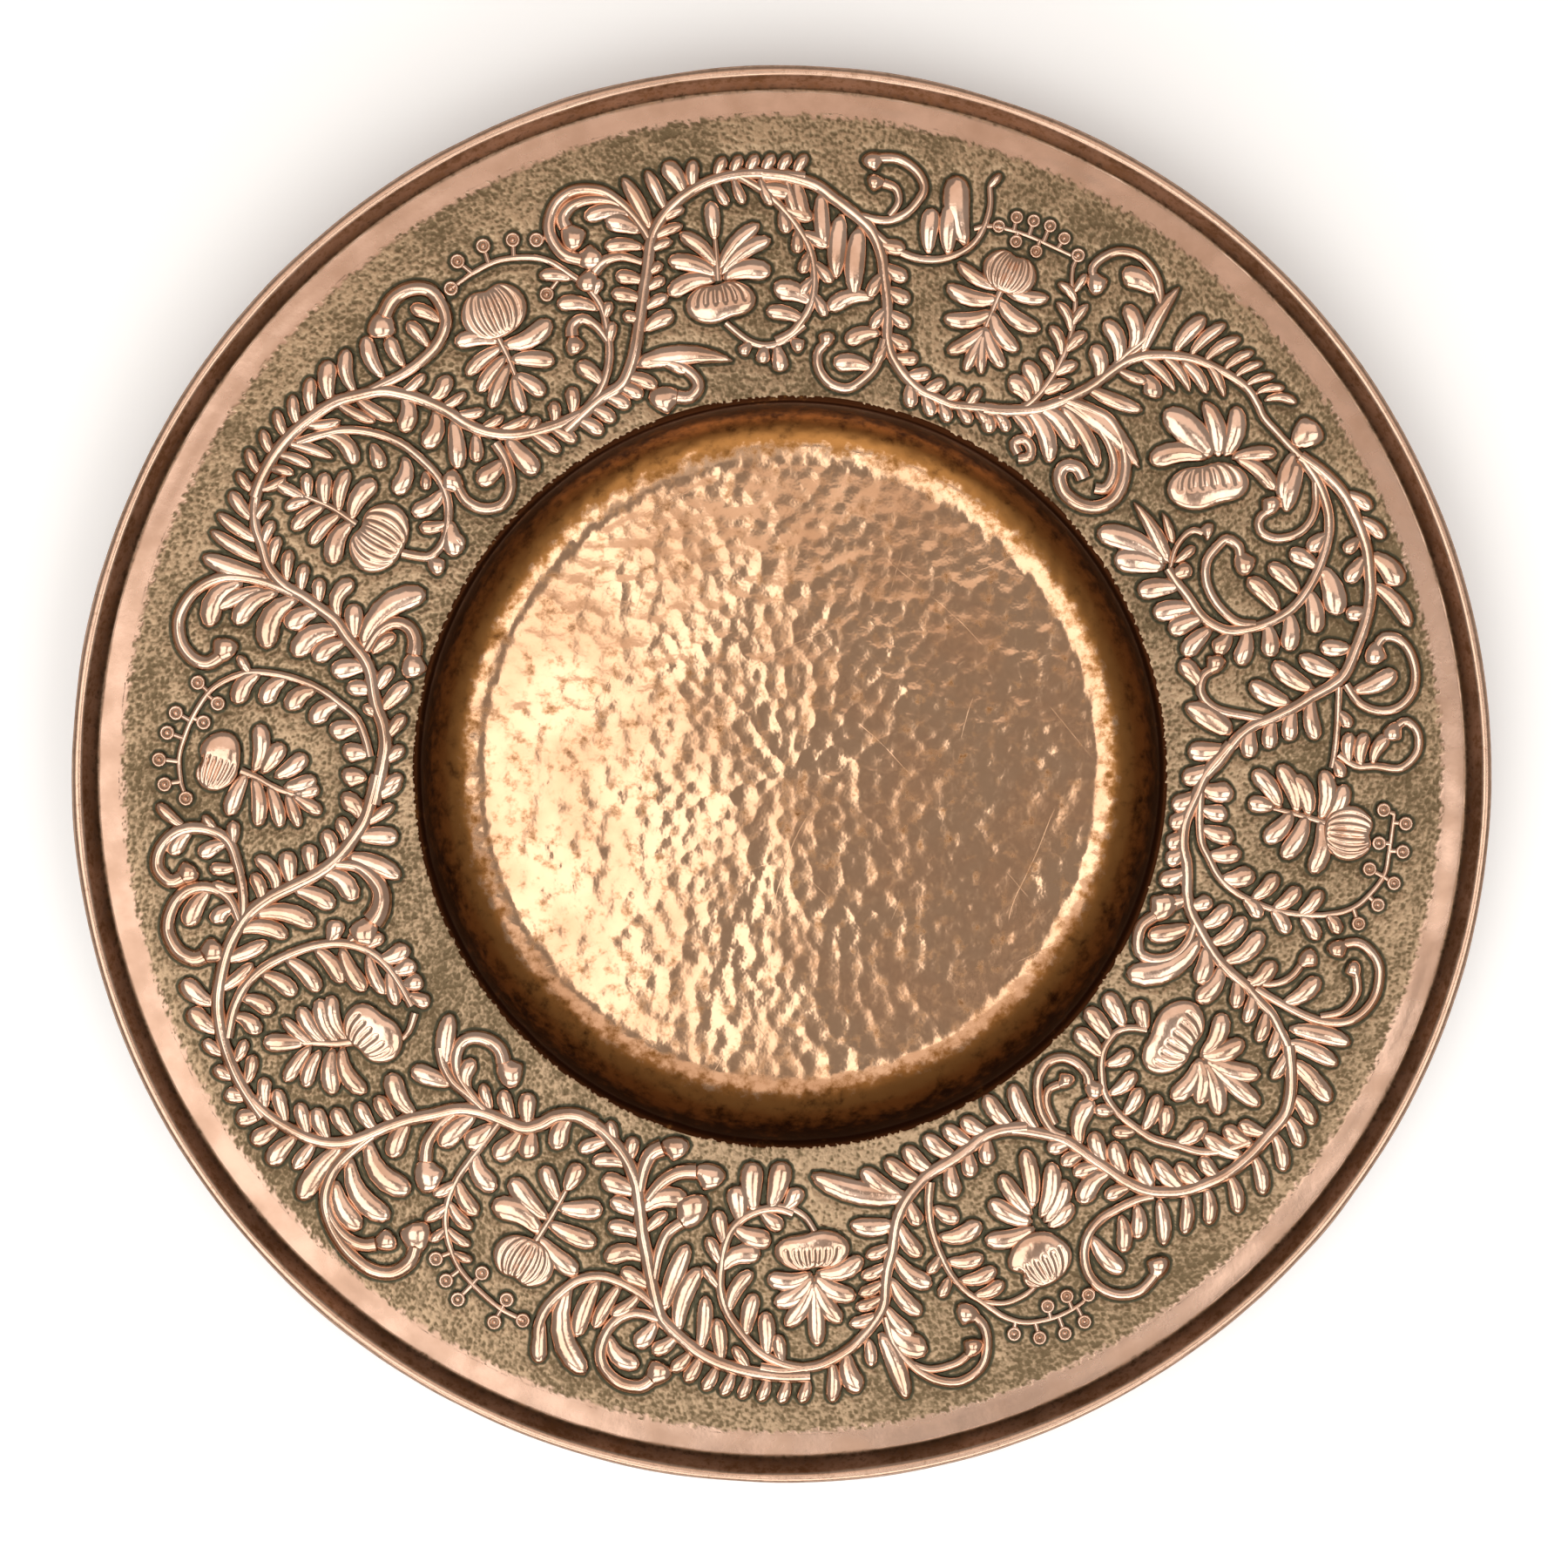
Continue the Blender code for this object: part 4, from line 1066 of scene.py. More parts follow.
Stem(
    (322, 201.4), (319.7, 196.6), (318, 191.2), (316.7, 183.4), (315.4, 176.4), (314.8, 169.4),
    (314.4, 160.9), (314.9, 153.1), (316.4, 147.6), (317.7, 144.4), (319.5, 142.2), (322, 142.2),
    (323.6, 145.4), (324.6, 150), width=(3, 2.4),
)
Stem(
    (307.5, 155.5), (306.6, 151.4), (306.8, 143.8), (307.8, 138.4), (309.6, 133.6), (311.9, 132.1),
    (313.9, 134.4), (314.9, 139.1), (314.9, 144.4), (314.2, 147), width=(3, 3.4),
).bulb(7, 50)
Stem((307.4, 150), (308, 143), (309.4, 139.4), (311, 140.4), width=(2.4, 2.8)).bulb(6, 60)
leaf_list(
    (330.4, 199.6, 329.4, 217, 6.4, -14, 0.2), (328, 204.6, 326.8, 216.4, 5.7, -16, 0.2),
    (326, 206.6, 324.5, 217, 5.4, -18, 0.2), (324, 206.4, 321.8, 217.2, 5.2, -20, 0.2),
    (321.2, 205.4, 319, 217, 5.2, -20, 0.2), (318.2, 203.6, 316.2, 215, 5.2, -20, 0.2),
    (315.8, 201, 313.5, 210.6, 5, -20, 0.2), (313.9, 197.4, 311.2, 207.4, 5, -18, 0.3),
    (311.5, 192.6, 309, 206, 5.4, -14, 0.4), (309.4, 189, 307.3, 198.4, 5.4, -20, 0.2),
    (307.4, 188.6, 305.4, 199.4, 5.4, -20, 0.2), (303.8, 189, 304.7, 205, 6.1, 24, 0),
    (323.6, 204.4, 322.8, 194.4, 5.2, -14, 0.2), (322, 203.4, 321.5, 191.2, 5.7, -14, 0.2),
    (320.5, 203, 319.5, 187.4, 6.1, -14, 0.3), (317.4, 201.6, 317.6, 192, 5.4, -12, 0.3),
    (315.6, 199, 315.4, 187.4, 6.1, -10, 0.4), (314, 196, 313.9, 181.1, 6.6, -10, 0.5),
    (311.8, 188.4, 312.9, 174.1, 6.8, -10, 0.6), (310.4, 179, 311.9, 167.1, 6.4, -12, 0.4),
    (309.4, 171.4, 310.8, 160.1, 6.1, -14, 0.3), (308.4, 161.4, 313.3, 152.6, 6.1, -40, 0),
    (310, 183.4, 307.1, 181, 5, 20, 0.2), (309.4, 175.4, 304.8, 178.4, 6.6, 44, 0, 1.15),
    (308.8, 171.4, 305.6, 168, 5.2, 20, 0.2), (308.2, 164.4, 305.1, 163, 5.2, 20, 0.2),
    (307.6, 159, 304.6, 156.2, 5.4, 20, 0.2), (316.9, 182.4, 320.6, 184, 5.7, 40, 0),
    (316.4, 177.4, 319, 171, 5.4, 20, 0.2), (315.2, 171.4, 319.4, 166.4, 5.4, 20, 0.2),
    (314.8, 163, 318.6, 160.4, 5.2, 20, 0.2), (315.2, 154.4, 319.6, 155.4, 5.2, 24, 0.1),
    (317.6, 146.4, 321.4, 150, 5.2, 24, 0.1), (314.6, 170, 312.4, 164, 4.7, -16, 0.3),
    (314.4, 160, 312.6, 154.4, 4.7, -16, 0.3),
    # palmette of the large fruit
    (326.1, 170, 331.4, 168, 6.4, 40, 0.1), (326, 170, 330.2, 179.6, 6.6, 32, 0.2),
    (325.9, 172, 328.1, 191.4, 6.6, 16, 0.2), (325.8, 174, 325.4, 197.4, 6.4, 0, 0.2),
    (325.6, 172, 321.9, 187.6, 6.6, -20, 0.2), (325.5, 170, 321.4, 179.4, 6.4, -32, 0.2),
    (325.4, 170, 320, 170.4, 6.4, -40, 0.1), (324.4, 150, 327.2, 141.4, 5.7, 0, 0.1),
    (323, 143, 325.1, 130.6, 6.1, 10, 0.1), (320.5, 142.4, 321.5, 128.4, 5.9, 10, 0.1),
    (318, 144, 318, 130.4, 5.9, 10, 0.1), (305, 149.4, 305.8, 130, 5.9, -20, 0.2),
    (302.4, 143.6, 301.4, 128, 5.9, -16, 0.2),
)
fruit(325.8, 158.6, 90, 28, 19, "kidney")

# From 328 to 362 degrees: the out-going stem and its double scroll, the berry stem and a ribbed fruit.
Stem(
    (364, 150.5), (362, 145.5), (359.7, 141), (357.6, 139), (354.7, 136.3), (352.5, 135.3), (349.7, 136),
    (347.5, 138.4), (345.4, 139.9), (343.4, 141.4), (341.3, 144.4), (339.6, 149.2), (338, 154.6),
    (336.8, 160.1), (336, 166.4), (335.5, 172.4), (334.7, 178), (334, 184.2), (332.9, 189.6),
    (331.7, 195.1), (330.2, 199), (328, 204.5), width=(4.2, 3.2),
)
Stem(
    (359.7, 140.6), (356.6, 140), (353.3, 140.6), (350.7, 142.2), (349, 145.4), (346.7, 150.7),
    (345.4, 157.7), (344.9, 164.7), (344.7, 171.7), (344.9, 178.7), (345.4, 186.4), (345.9, 191.2),
    (346.7, 196.6), (348, 201.4), (350.7, 206.7), (353.2, 207.4), (356.7, 207.9), width=(3, 1.4),
)
Stem(
    (335.7, 175.4), (335.5, 183.4), (335.4, 192), (335.6, 200.4), (336.5, 208.4), (338, 213),
    (340.1, 214.9), (342.4, 213), (343.6, 208.4), (344, 203), (343.3, 198), width=(2.8, 3.2),
).bulb(7, 50)
Stem((336, 200), (337.4, 206.4), (339.4, 208.6), (340.9, 206.4), width=(2.2, 2.8)).bulb(6, 50)
Stem((336.3, 171.4), (336.8, 179.4), (338.3, 185), (340, 187), width=(2.2, 2.6)).bulb(7, -40)
Stem(
    (339.8, 147.4), (337.5, 147.6), (335, 145.4), (333.2, 139.9), (332.9, 134.4), (334.5, 131.4),
    (336.8, 130.6), (338.8, 133.4), width=(3, 4),
).bulb(10, 60)
leaf_list(
    (333.5, 192, 335, 213.7, 6.1, -8, 0.3), (332.2, 193.6, 332.7, 213, 5.9, -10, 0.3),
    (330.9, 198.4, 329.4, 215.4, 5.7, -16, 0.2), (331.5, 194.8, 328.2, 195, 4.7, -20, 0.3),
    (333.2, 188, 329.8, 190.4, 4.7, -20, 0.3), (334, 182, 330.6, 184.2, 5, -20, 0.3),
    (335.2, 175, 331.7, 177.4, 5, -20, 0.3), (335.7, 168, 332.5, 171.8, 5.2, -20, 0.3),
    (336.4, 161, 331.2, 158.2, 6.1, -40, 0), (337.6, 153.4, 333, 156.2, 6.1, -30, 0.1),
    (338.8, 150.4, 329.6, 132.6, 7.6, -44, 0, 1.15), (339.4, 146, 335.8, 133.4, 6.1, -14, 0.2),
    (337, 161, 342, 169.4, 5.9, 40, 0), (338.4, 154.6, 343, 162.4, 5.9, 34, 0.1),
    (340, 149.4, 343.8, 156.2, 5.7, 30, 0.1), (335.6, 172, 339.4, 177, 5.4, 34, 0),
    (335.6, 186, 339.6, 193.6, 5.7, 30, 0), (342, 143.4, 343.8, 150, 5.2, 24, 0.1),
    (358.4, 140.2, 358.3, 151.2, 6.6, 34, 0), (355.4, 140.6, 355.1, 150, 5.7, 20, 0.1),
    (352.8, 141.4, 352.3, 153.2, 5.9, 20, 0.1), (349.4, 145.4, 350.7, 156.2, 5.9, 24, 0.1),
    (346.8, 151.4, 348.6, 161.6, 6.4, 34, 0), (345.3, 163.4, 348.8, 169.6, 5.4, 26, 0.1),
    (344.9, 171.4, 348, 178.2, 5.2, 26, 0.1), (345, 180.4, 348.2, 186, 5, 26, 0.1),
    (344.8, 181.4, 342.9, 189.4, 5.2, -24, 0.2), (344.6, 171, 342.5, 178.6, 5.2, -24, 0.2),
    (345, 160.4, 343.2, 168, 5.2, -24, 0.2), (345.8, 190, 344.2, 196, 4.7, -20, 0.2),
    (357.4, 138.8, 355.3, 129.8, 5.9, -18, 0.2), (354.8, 136.4, 352.3, 130, 5.7, -18, 0.2),
    (351.8, 135.4, 349.2, 130.2, 5.7, -18, 0.2), (349.4, 136.8, 346.9, 131, 5.7, -18, 0.2),
    (346.4, 139, 343.9, 130.4, 5.9, -18, 0.2), (342.8, 142, 340.6, 132.1, 5.9, -18, 0.2),
    # palmette of the ribbed fruit, which falls towards the well
    (355.4, 184, 359.4, 189.4, 5.7, 34, 0.1), (355.6, 182, 360.8, 181.9, 6.1, 34, 0.2),
    (355.8, 178, 360.1, 171.9, 6.4, 28, 0.2), (356, 174, 361.3, 166.4, 6.4, 26, 0.2),
    (356.4, 168, 360.6, 157.7, 6.1, 20, 0.2), (356.4, 166, 356.7, 156.4, 5.7, 0, 0.2),
    (356, 172, 352.3, 163.2, 6.4, -22, 0.2), (355.8, 177, 350.7, 170.2, 6.4, -26, 0.2),
    (355.4, 182, 349.6, 181.1, 6.4, -34, 0.2),
)
Stem((355.2, 184), (355.8, 174), (356.4, 162), width=(2.2, 1.4))
fruit(354.4, 192.6, 0, 18, 19, "ribbed")
berry_spray(
    (355.9, 212), (353.3, 212), (350.3, 210.6), (348, 206.6), (345.8, 201.6), (357, 204), (353.8, 203.4),
    (351.2, 201.4), (345.2, 193.4), size=2.6,
)

# From 358 to 392 degrees: the in-coming stem and its scrolls beside a second stem with a broad scroll.
Stem(
    (392, 206), (389.7, 209.8), (387.1, 212.6), (384.6, 213), (382, 212.6), (380, 211), (377.5, 208.4),
    (375.2, 204.4), (372.9, 199), (370.6, 193.4), (369.6, 188.1), (368.8, 181.1), (367.8, 174.1),
    (366.9, 166.4), (366.3, 160.1), (365.2, 154.6), (363.5, 150), (361.7, 146.1), (359.9, 141.6),
    width=(4, 3.8),
)
Stem(
    (369.5, 193), (367.5, 196.6), (366.5, 202.9), (366.6, 209.8), (367.8, 215.4), (369.6, 217.6),
    (371.6, 216.8), (372.9, 213.7), (373.3, 209), (372.6, 206), width=(2.8, 3.2),
).bulb(8, 50)
Stem(
    (392, 206), (389.2, 206.7), (386.6, 205.6), (384.6, 202.9), (383, 199), (381.5, 194.4), (380, 188.9),
    (378.7, 182.6), (378, 176.4), (377.7, 169.4), (377.8, 163.2), (378.2, 157.7), (379.5, 153.1),
    (381.3, 150), (384.1, 148.4), (386.6, 146.9), (388.6, 146.4), width=(3.4, 3.2),
)
Stem(
    (378, 167), (379, 161), (381.5, 157), (384.6, 156.2), (387.1, 159.4), (388.1, 164.7), (388.4, 169.4),
    (387.1, 171.8), (386, 171), width=(2.8, 3.4),
).bulb(8, 50)
Stem(
    (389.2, 206), (387.1, 202.1), (385.8, 196.6), (385.5, 190.4), (386.1, 184.2), (387.4, 181.1),
    (388.6, 182.6), (388.9, 186), width=(2.6, 3),
).bulb(7, 50)
Stem(
    (366.7, 164), (367.3, 158.4), (368.8, 146.9), (371.3, 142.6), (373.4, 144.4), (374, 147.4),
    width=(2.8, 3.2),
).bulb(7, 50)
Stem(
    (369.3, 190.4), (366, 188.6), (363, 187), (361, 185.6), width=(2.2, 2),
).row(1, 0.3, 0.9, 2, (7, 7), (50, 50), 0.62)
Stem(
    (362.4, 188), (361.2, 194), (361.2, 201), (361, 209.6), (362.4, 215.4), (364.2, 216), (365.3, 212.4),
    (364.9, 209), width=(2.2, 3),
).bulb(7, 50)
leaf_list(
    (368.8, 195, 370.1, 211, 6.1, 20, 0), (381.5, 195, 376.4, 194.4, 7.6, -24, 0.1),
    (379.8, 188, 375.2, 185.7, 6.1, -22, 0.1), (378.2, 179, 374.1, 174.9, 6.1, -22, 0.1),
    (377.7, 170.4, 373.9, 168.2, 5.9, -22, 0.1), (377.7, 163.4, 373.9, 157, 5.9, -22, 0.1),
    (378, 157.4, 376.3, 150, 5.9, -22, 0.1), (384.2, 201.6, 383.3, 193.4, 5.2, 20, 0.1),
    (381.6, 193.6, 384.1, 186.4, 5.7, 20, 0.2), (379.8, 184.6, 383.8, 178, 5.7, 20, 0.2),
    (378.6, 176, 383.3, 169.4, 5.9, 20, 0.2), (391.6, 204.6, 387.9, 192, 7.6, 14, 0.6),
    (387, 212.4, 384.6, 219, 4.7, -24, 0.1), (384.4, 213, 381.8, 219.2, 4.7, -24, 0.1),
    (380.9, 212.4, 377.4, 218.4, 7.1, -30, 0), (378.3, 210, 373.6, 218.6, 5.7, -24, 0.3),
    (382.7, 211.6, 382, 204.4, 4.7, 0, 0.2), (381, 210.6, 379.3, 201.4, 5.7, -10, 0.2),
    (376, 206, 376.4, 198, 5.4, -10, 0.3), (373, 197, 373.9, 186.4, 5.9, -12, 0.3),
    (370.8, 191, 373.4, 178.7, 6.6, -14, 0.4), (369.5, 181.6, 373.4, 169.4, 6.4, -16, 0.3),
    (368.3, 173, 371.6, 160.1, 6.4, -16, 0.3), (365.4, 151, 369.9, 136, 8.3, 14, 0.6, 1.15),
    (368.8, 180.6, 364, 181.1, 5.4, 22, 0.1), (367.6, 174, 364, 171.8, 5.4, 22, 0.1),
    (366.7, 166.4, 363.2, 164.7, 5.4, 22, 0.1), (366.1, 158.6, 362.2, 157.7, 5.7, 22, 0.1),
    (361.4, 200, 364, 206, 4.7, -30, 0), (361.2, 196, 364.4, 198.6, 4.7, -30, 0),
    (361.6, 192, 364.6, 193, 4.5, -26, 0.1), (385.7, 147.2, 387.6, 132.9, 6.4, 14, 0.1),
    (382.4, 149, 383.7, 134.4, 6.4, 14, 0.1), (380.8, 150.4, 380.5, 137.4, 6.1, 14, 0.1),
    (379.2, 152, 376.7, 139.9, 6.1, 14, 0.1), (363.6, 149.4, 363.6, 135.4, 6.4, -16, 0.1),
    (361.2, 144.4, 359.4, 133, 6.1, -16, 0.1), (387.4, 146.6, 387.4, 154, 5.2, 0, 0.1),
    (371.9, 143, 376.2, 137.4, 5.7, 24, 0.1),
)

# ---------------------------------------------------------------------------------------------
# Stems
# Each stem is a round-backed ridge driven up from below, which tapers and hooks into a scroll. Like all
# the ornament it is rubbed bright on top, and the patina stays low down on its flanks.
# ---------------------------------------------------------------------------------------------
STEM_SWELL = 1.22           # the ridges stand this much wider than they were laid out
ROOT_DEPTH = 0.0006         # the ornament's bodies reach this far below the flange's upper face
RUBBED = (0.74, 0.52, 0.40)
WARM = (0.58, 0.37, 0.26)
PATINA = (0.060, 0.055, 0.034)


def upper_face(radius):
    """Height of the flange's upper face at a radius field."""
    flange = radius.ramp(FLANGE_START, LIP_FOOT.x, FLANGE_HEIGHT, FOOT_HEIGHT, smooth=False)
    return flange + SHEET / 2


def above_flange(place):
    """How high a point stands over the flange at its radius, in millimetres."""
    x, y, z = split(place)
    return (z - upper_face(from_axis(place))) / MM


def ornament_copper():
    material, tree, shader, place = start_material("rubbed_copper", RUBBED, 0.27)
    height = above_flange(place)
    smudge = noise(tree, place, 0.014, 4.0)
    fine = noise(tree, place, 0.0016, 3.0)
    worn = (height + (smudge - 0.5) * 0.6 + (fine - 0.5) * 0.3).ramp(-0.05, 0.50)
    tone = blend_colour(tree, smudge.ramp(0.35, 0.68), RUBBED, WARM)
    plug(tree, blend_colour(tree, worn, PATINA, tone), shader.inputs["Base Color"])
    plug(tree, worn.ramp(0.0, 1.0, 0.50, 0.16) + (fine - 0.5) * 0.10, shader.inputs["Roughness"])
    dents = noise(tree, place, 0.0032, 2.0) * 0.6 + fine * 0.12
    plug(tree, bumped(tree, dents, 0.00014), shader.inputs["Normal"])
    return material


rubbed_copper = ornament_copper()


def flange_top(radius):
    """Height of the flange's upper face, in metres, for a radius in millimetres."""
    share = (radius * MM - FLANGE_START) / (LIP_FOOT.x - FLANGE_START)
    return FLANGE_HEIGHT + FLANGE_RISE * min(max(share, 0.0), 1.0) + SHEET / 2


def make_line(name, runs, cyclic=False):
    """A curve object with one spline for each run of (points, half widths)."""
    curve = bpy.data.curves.new(name, "CURVE")
    curve.dimensions = "3D"
    for points, halves in runs:
        spline = curve.splines.new("POLY")
        spline.points.add(len(points) - 1)
        spline.use_cyclic_u = cyclic
        for spot, place, half in zip(spline.points, points, halves):
            spot.co = (*place, 1.0)
            spot.radius = half
    obj = bpy.data.objects.new(name, curve)
    bpy.context.collection.objects.link(obj)
    return obj


# the ridge's cross-section, upside down because the sweep turns it over, in half widths
STEM_SECTION = [(-1.0, 0.35), (-1.0, -0.20), (-0.74, -0.55), (-0.12, -0.98), (0.12, -0.98), (0.74, -0.55),
                (1.0, -0.20), (1.0, 0.35)]


def sweep_stems(section_object):
    tree, (path, section, copper) = start_tree("sweep_stems", Section=section_object,
                                               Copper=rubbed_copper)
    outline = put(tree, "GeometryNodeObjectInfo", Object=section, out="Geometry")
    upright = put(tree, "GeometryNodeSetCurveNormal", {"mode": "Z_UP"}, Curve=path)
    width = put(tree, "GeometryNodeInputRadius")
    ridge = put(tree, "GeometryNodeCurveToMesh", Curve=upright, Profile_Curve=outline, Scale=width,
                Fill_Caps=True)
    place = put(tree, "GeometryNodeInputPosition")
    x, y, z = split(place)
    face = upper_face(from_axis(place))
    buried = (z - face).maths("LESS_THAN", 0.0)
    height = z + (face - z - ROOT_DEPTH) * buried
    rooted = put(tree, "GeometryNodeSetPosition", Geometry=ridge, Position=join(tree, x, y, height))
    end_tree(tree, rooted, copper)
    return tree


section_points = [(x, y, 0.0) for x, y in STEM_SECTION]
stem_section = make_line("stem_section", [(section_points, [1.0] * len(section_points))], cyclic=True)
stem_runs = []
for points, halves in stems:
    path = [(x * MM, y * MM, flange_top(math.hypot(x, y))) for x, y in points]
    stem_runs.append((path, [half * STEM_SWELL * MM for half in halves]))
stem_piece = grow(make_line("chased_stems", stem_runs), sweep_stems(stem_section), Section=stem_section,
                  Copper=rubbed_copper)
bpy.data.objects.remove(stem_section)
dress(stem_piece)

# ---------------------------------------------------------------------------------------------
# Leaves
# Each leaf is a pillow with a ridge off its middle, raised from below and trimmed round with a liner.
# ---------------------------------------------------------------------------------------------
# shares of the leaf's length, and places across it: (half widths, share of its height, or -1 for its root)
LEAF_STATIONS = (0.0, 0.13, 0.29, 0.46, 0.63, 0.79, 0.91, 0.985)
LEAF_SECTION = ((-1.0, -1.0), (-1.0, 0.20), (-0.85, 0.60), (-0.30, 0.96), (0.14, 1.00), (0.80, 0.64),
                (1.0, 0.24), (1.0, -1.0))
LEAF_HEIGHT = 0.0023
LEAF_FILL = 0.74            # half the pillow's breadth, as a share of the leaf's laid out width
LEAF_FACTS = ("heading", "length", "width", "rise", "curl", "sharp")


def leaf_cell():
    """The leaf's net before it is shaped: x along it, y across it, and z from the root to the crest."""
    corners = len(LEAF_SECTION)
    points = [(u, v, w) for u in LEAF_STATIONS for v, w in LEAF_SECTION]
    faces = []
    for station in range(len(LEAF_STATIONS) - 1):
        for corner in range(corners):
            here = station * corners + corner
            beside = station * corners + (corner + 1) % corners
            faces.append((here, here + corners, beside + corners, beside))
    faces.append(tuple(range(corners)))
    faces.append(tuple(range(len(points) - 1, len(points) - 1 - corners, -1)))
    mesh = bpy.data.meshes.new("leaf_cell")
    mesh.from_pydata(points, [], faces)
    cell = mesh.attributes.new("cell", "FLOAT_VECTOR", "POINT")
    cell.data.foreach_set("vector", [value for point in points for value in point])
    obj = bpy.data.objects.new("leaf_cell", mesh)
    bpy.context.collection.objects.link(obj)
    return obj


def leaf_roots(name, chosen):
    """A bare point at the root of each leaf, which carries that leaf's sizes as attributes."""
    mesh = bpy.data.meshes.new(name)
    mesh.from_pydata([(x * MM, y * MM, 0.0) for x, y, *rest in chosen], [], [])
    root = mesh.attributes.new("root", "FLOAT_VECTOR", "POINT")
    root.data.foreach_set("vector", [value * MM for x, y, *rest in chosen for value in (x, y, 0.0)])
    for index, fact in enumerate(LEAF_FACTS):
        layer = mesh.attributes.new(fact, "FLOAT", "POINT")
        layer.data.foreach_set("value", [row[2 + index] for row in chosen])
    obj = bpy.data.objects.new(name, mesh)
    bpy.context.collection.objects.link(obj)
    return obj


def named(tree, name, data_type="FLOAT"):
    return put(tree, "GeometryNodeInputNamedAttribute", {"data_type": data_type}, Name=name)


def shape_leaves(cell_object):
    tree, (roots, cell, copper, rise) = start_tree(
        "shape_leaves", Leaf_cell=cell_object, Copper=rubbed_copper, Leaf_height=LEAF_HEIGHT)
    net = put(tree, "GeometryNodeObjectInfo", Object=cell, out="Geometry")
    planted = put(tree, "GeometryNodeInstanceOnPoints", Points=roots, Instance=net)
    whole = put(tree, "GeometryNodeRealizeInstances", Geometry=planted)
    u, v, w = split(named(tree, "cell", "FLOAT_VECTOR"))
    root_x, root_y, flat = split(named(tree, "root", "FLOAT_VECTOR"))
    heading, curl, sharp = named(tree, "heading"), named(tree, "curl") + 0.0001, named(tree, "sharp")
    length, width = named(tree, "length") * MM, named(tree, "width") * MM
    bent = heading + curl * u
    along = length * (curl * u).maths("SINE") / curl
    aside = length * ((curl * u).maths("COSINE") * -1.0 + 1.0) / curl
    blunt = ((u ** 6.0) * -1.0 + 1.0) ** 0.5
    pointed = ((u * -1.0 + 1.0) ** 0.8) * 1.5
    outline = (u ** 0.62) * (blunt + (pointed - blunt) * sharp) + (u * -1.0 + 1.0) * 0.22
    reach = width * outline * v * LEAF_FILL
    ahead_x, ahead_y = heading.maths("COSINE"), heading.maths("SINE")
    x = root_x + ahead_x * along - ahead_y * aside - bent.maths("SINE") * reach
    y = root_y + ahead_y * along + ahead_x * aside + bent.maths("COSINE") * reach
    ground = upper_face((x * x + y * y) ** 0.5)
    swell = u.ramp(0.0, 0.6, 0.5, 1.0) * ((u ** 7.0) * -0.4 + 1.0)
    raised = w.maths("MAXIMUM", 0.0) * named(tree, "rise") * swell * rise
    z = ground + raised + w.maths("MINIMUM", 0.0) * ROOT_DEPTH
    shaped = put(tree, "GeometryNodeSetPosition", Geometry=whole, Position=join(tree, x, y, z))
    end_tree(tree, shaped, copper)
    return tree


cell_object = leaf_cell()
leaf_tree = shape_leaves(cell_object)
leaf_pieces = []
for quarter in range(4):
    chosen = [row for row in leaves if int(math.degrees(math.atan2(row[1], row[0])) % 360 // 90) == quarter]
    roots = leaf_roots(f"chased_leaves_{quarter + 1}", chosen)
    leaf_pieces.append(grow(roots, leaf_tree, Leaf_cell=cell_object, Copper=rubbed_copper,
                            Leaf_height=LEAF_HEIGHT))
bpy.data.objects.remove(cell_object)
for piece in leaf_pieces:
    dress(piece)

# ---------------------------------------------------------------------------------------------
# Fruits
# The highest relief on the tray: kidney and pomegranate shapes with ribs cut in with a tracer.
# ---------------------------------------------------------------------------------------------
FRUIT_HEIGHT = 0.0034
FRUIT_SPOKES = 112
FRUIT_RINGS = 32
RIBS = (-0.70, -0.42, -0.14, 0.14, 0.42, 0.70)      # the cuts, in half girths of the fruit
RIB_CUT = 0.0008
# for each kind: depth of its notch, depth of the dip opposite, and the notch's bearing from the crown
FRUIT_KINDS = {"kidney": (0.16, 0.22, 1.7), "ribbed": (0.20, 0.04, 0.0), "lobed": (0.30, 0.10, 0.25)}


def fruit_outline(kind, bearing):
    """Reach of the fruit's edge at a bearing from its crown, as a share of its half size."""
    notch, foot, centre = FRUIT_KINDS[kind]
    away = math.atan2(math.sin(bearing - centre), math.cos(bearing - centre))
    behind = math.atan2(math.sin(bearing - centre - 3.3), math.cos(bearing - centre - 3.3))
    return 1.0 - notch * math.exp(-(away / 0.34) ** 2) - foot * math.exp(-(behind / 0.5) ** 2)


def rib_cut(kind, along, across):
    """Depth of the cuts at a point of the fruit, from 0 to 1; along and across run from -1 to 1."""
    if kind == "ribbed":
        lengthwise, sideways, fade = along, across, 1.0
    else:
        lengthwise, sideways = across, along
        fade = min(1.0, max(0.0, (across + 0.18) / 0.2))
    girth = math.sqrt(max(0.04, 1.0 - lengthwise ** 2))
    depth = max(math.exp(-((sideways / girth - rib) / 0.062) ** 2) for rib in RIBS)
    return depth * fade * min(1.0, max(0.0, (0.88 - abs(lengthwise)) / 0.2))


def skin_rings(body, crown, rings):
    """Close a dome: a fan at its crown, bands between its rings and one face underneath."""
    spokes = len(rings[0])
    for spoke in range(spokes):
        other = (spoke + 1) % spokes
        body.faces.new((crown, rings[0][spoke], rings[0][other]))
        for inner, outer in zip(rings, rings[1:]):
            body.faces.new((inner[spoke], outer[spoke], outer[other], inner[other]))
    body.faces.new([rings[-1][spoke] for spoke in reversed(range(spokes))])


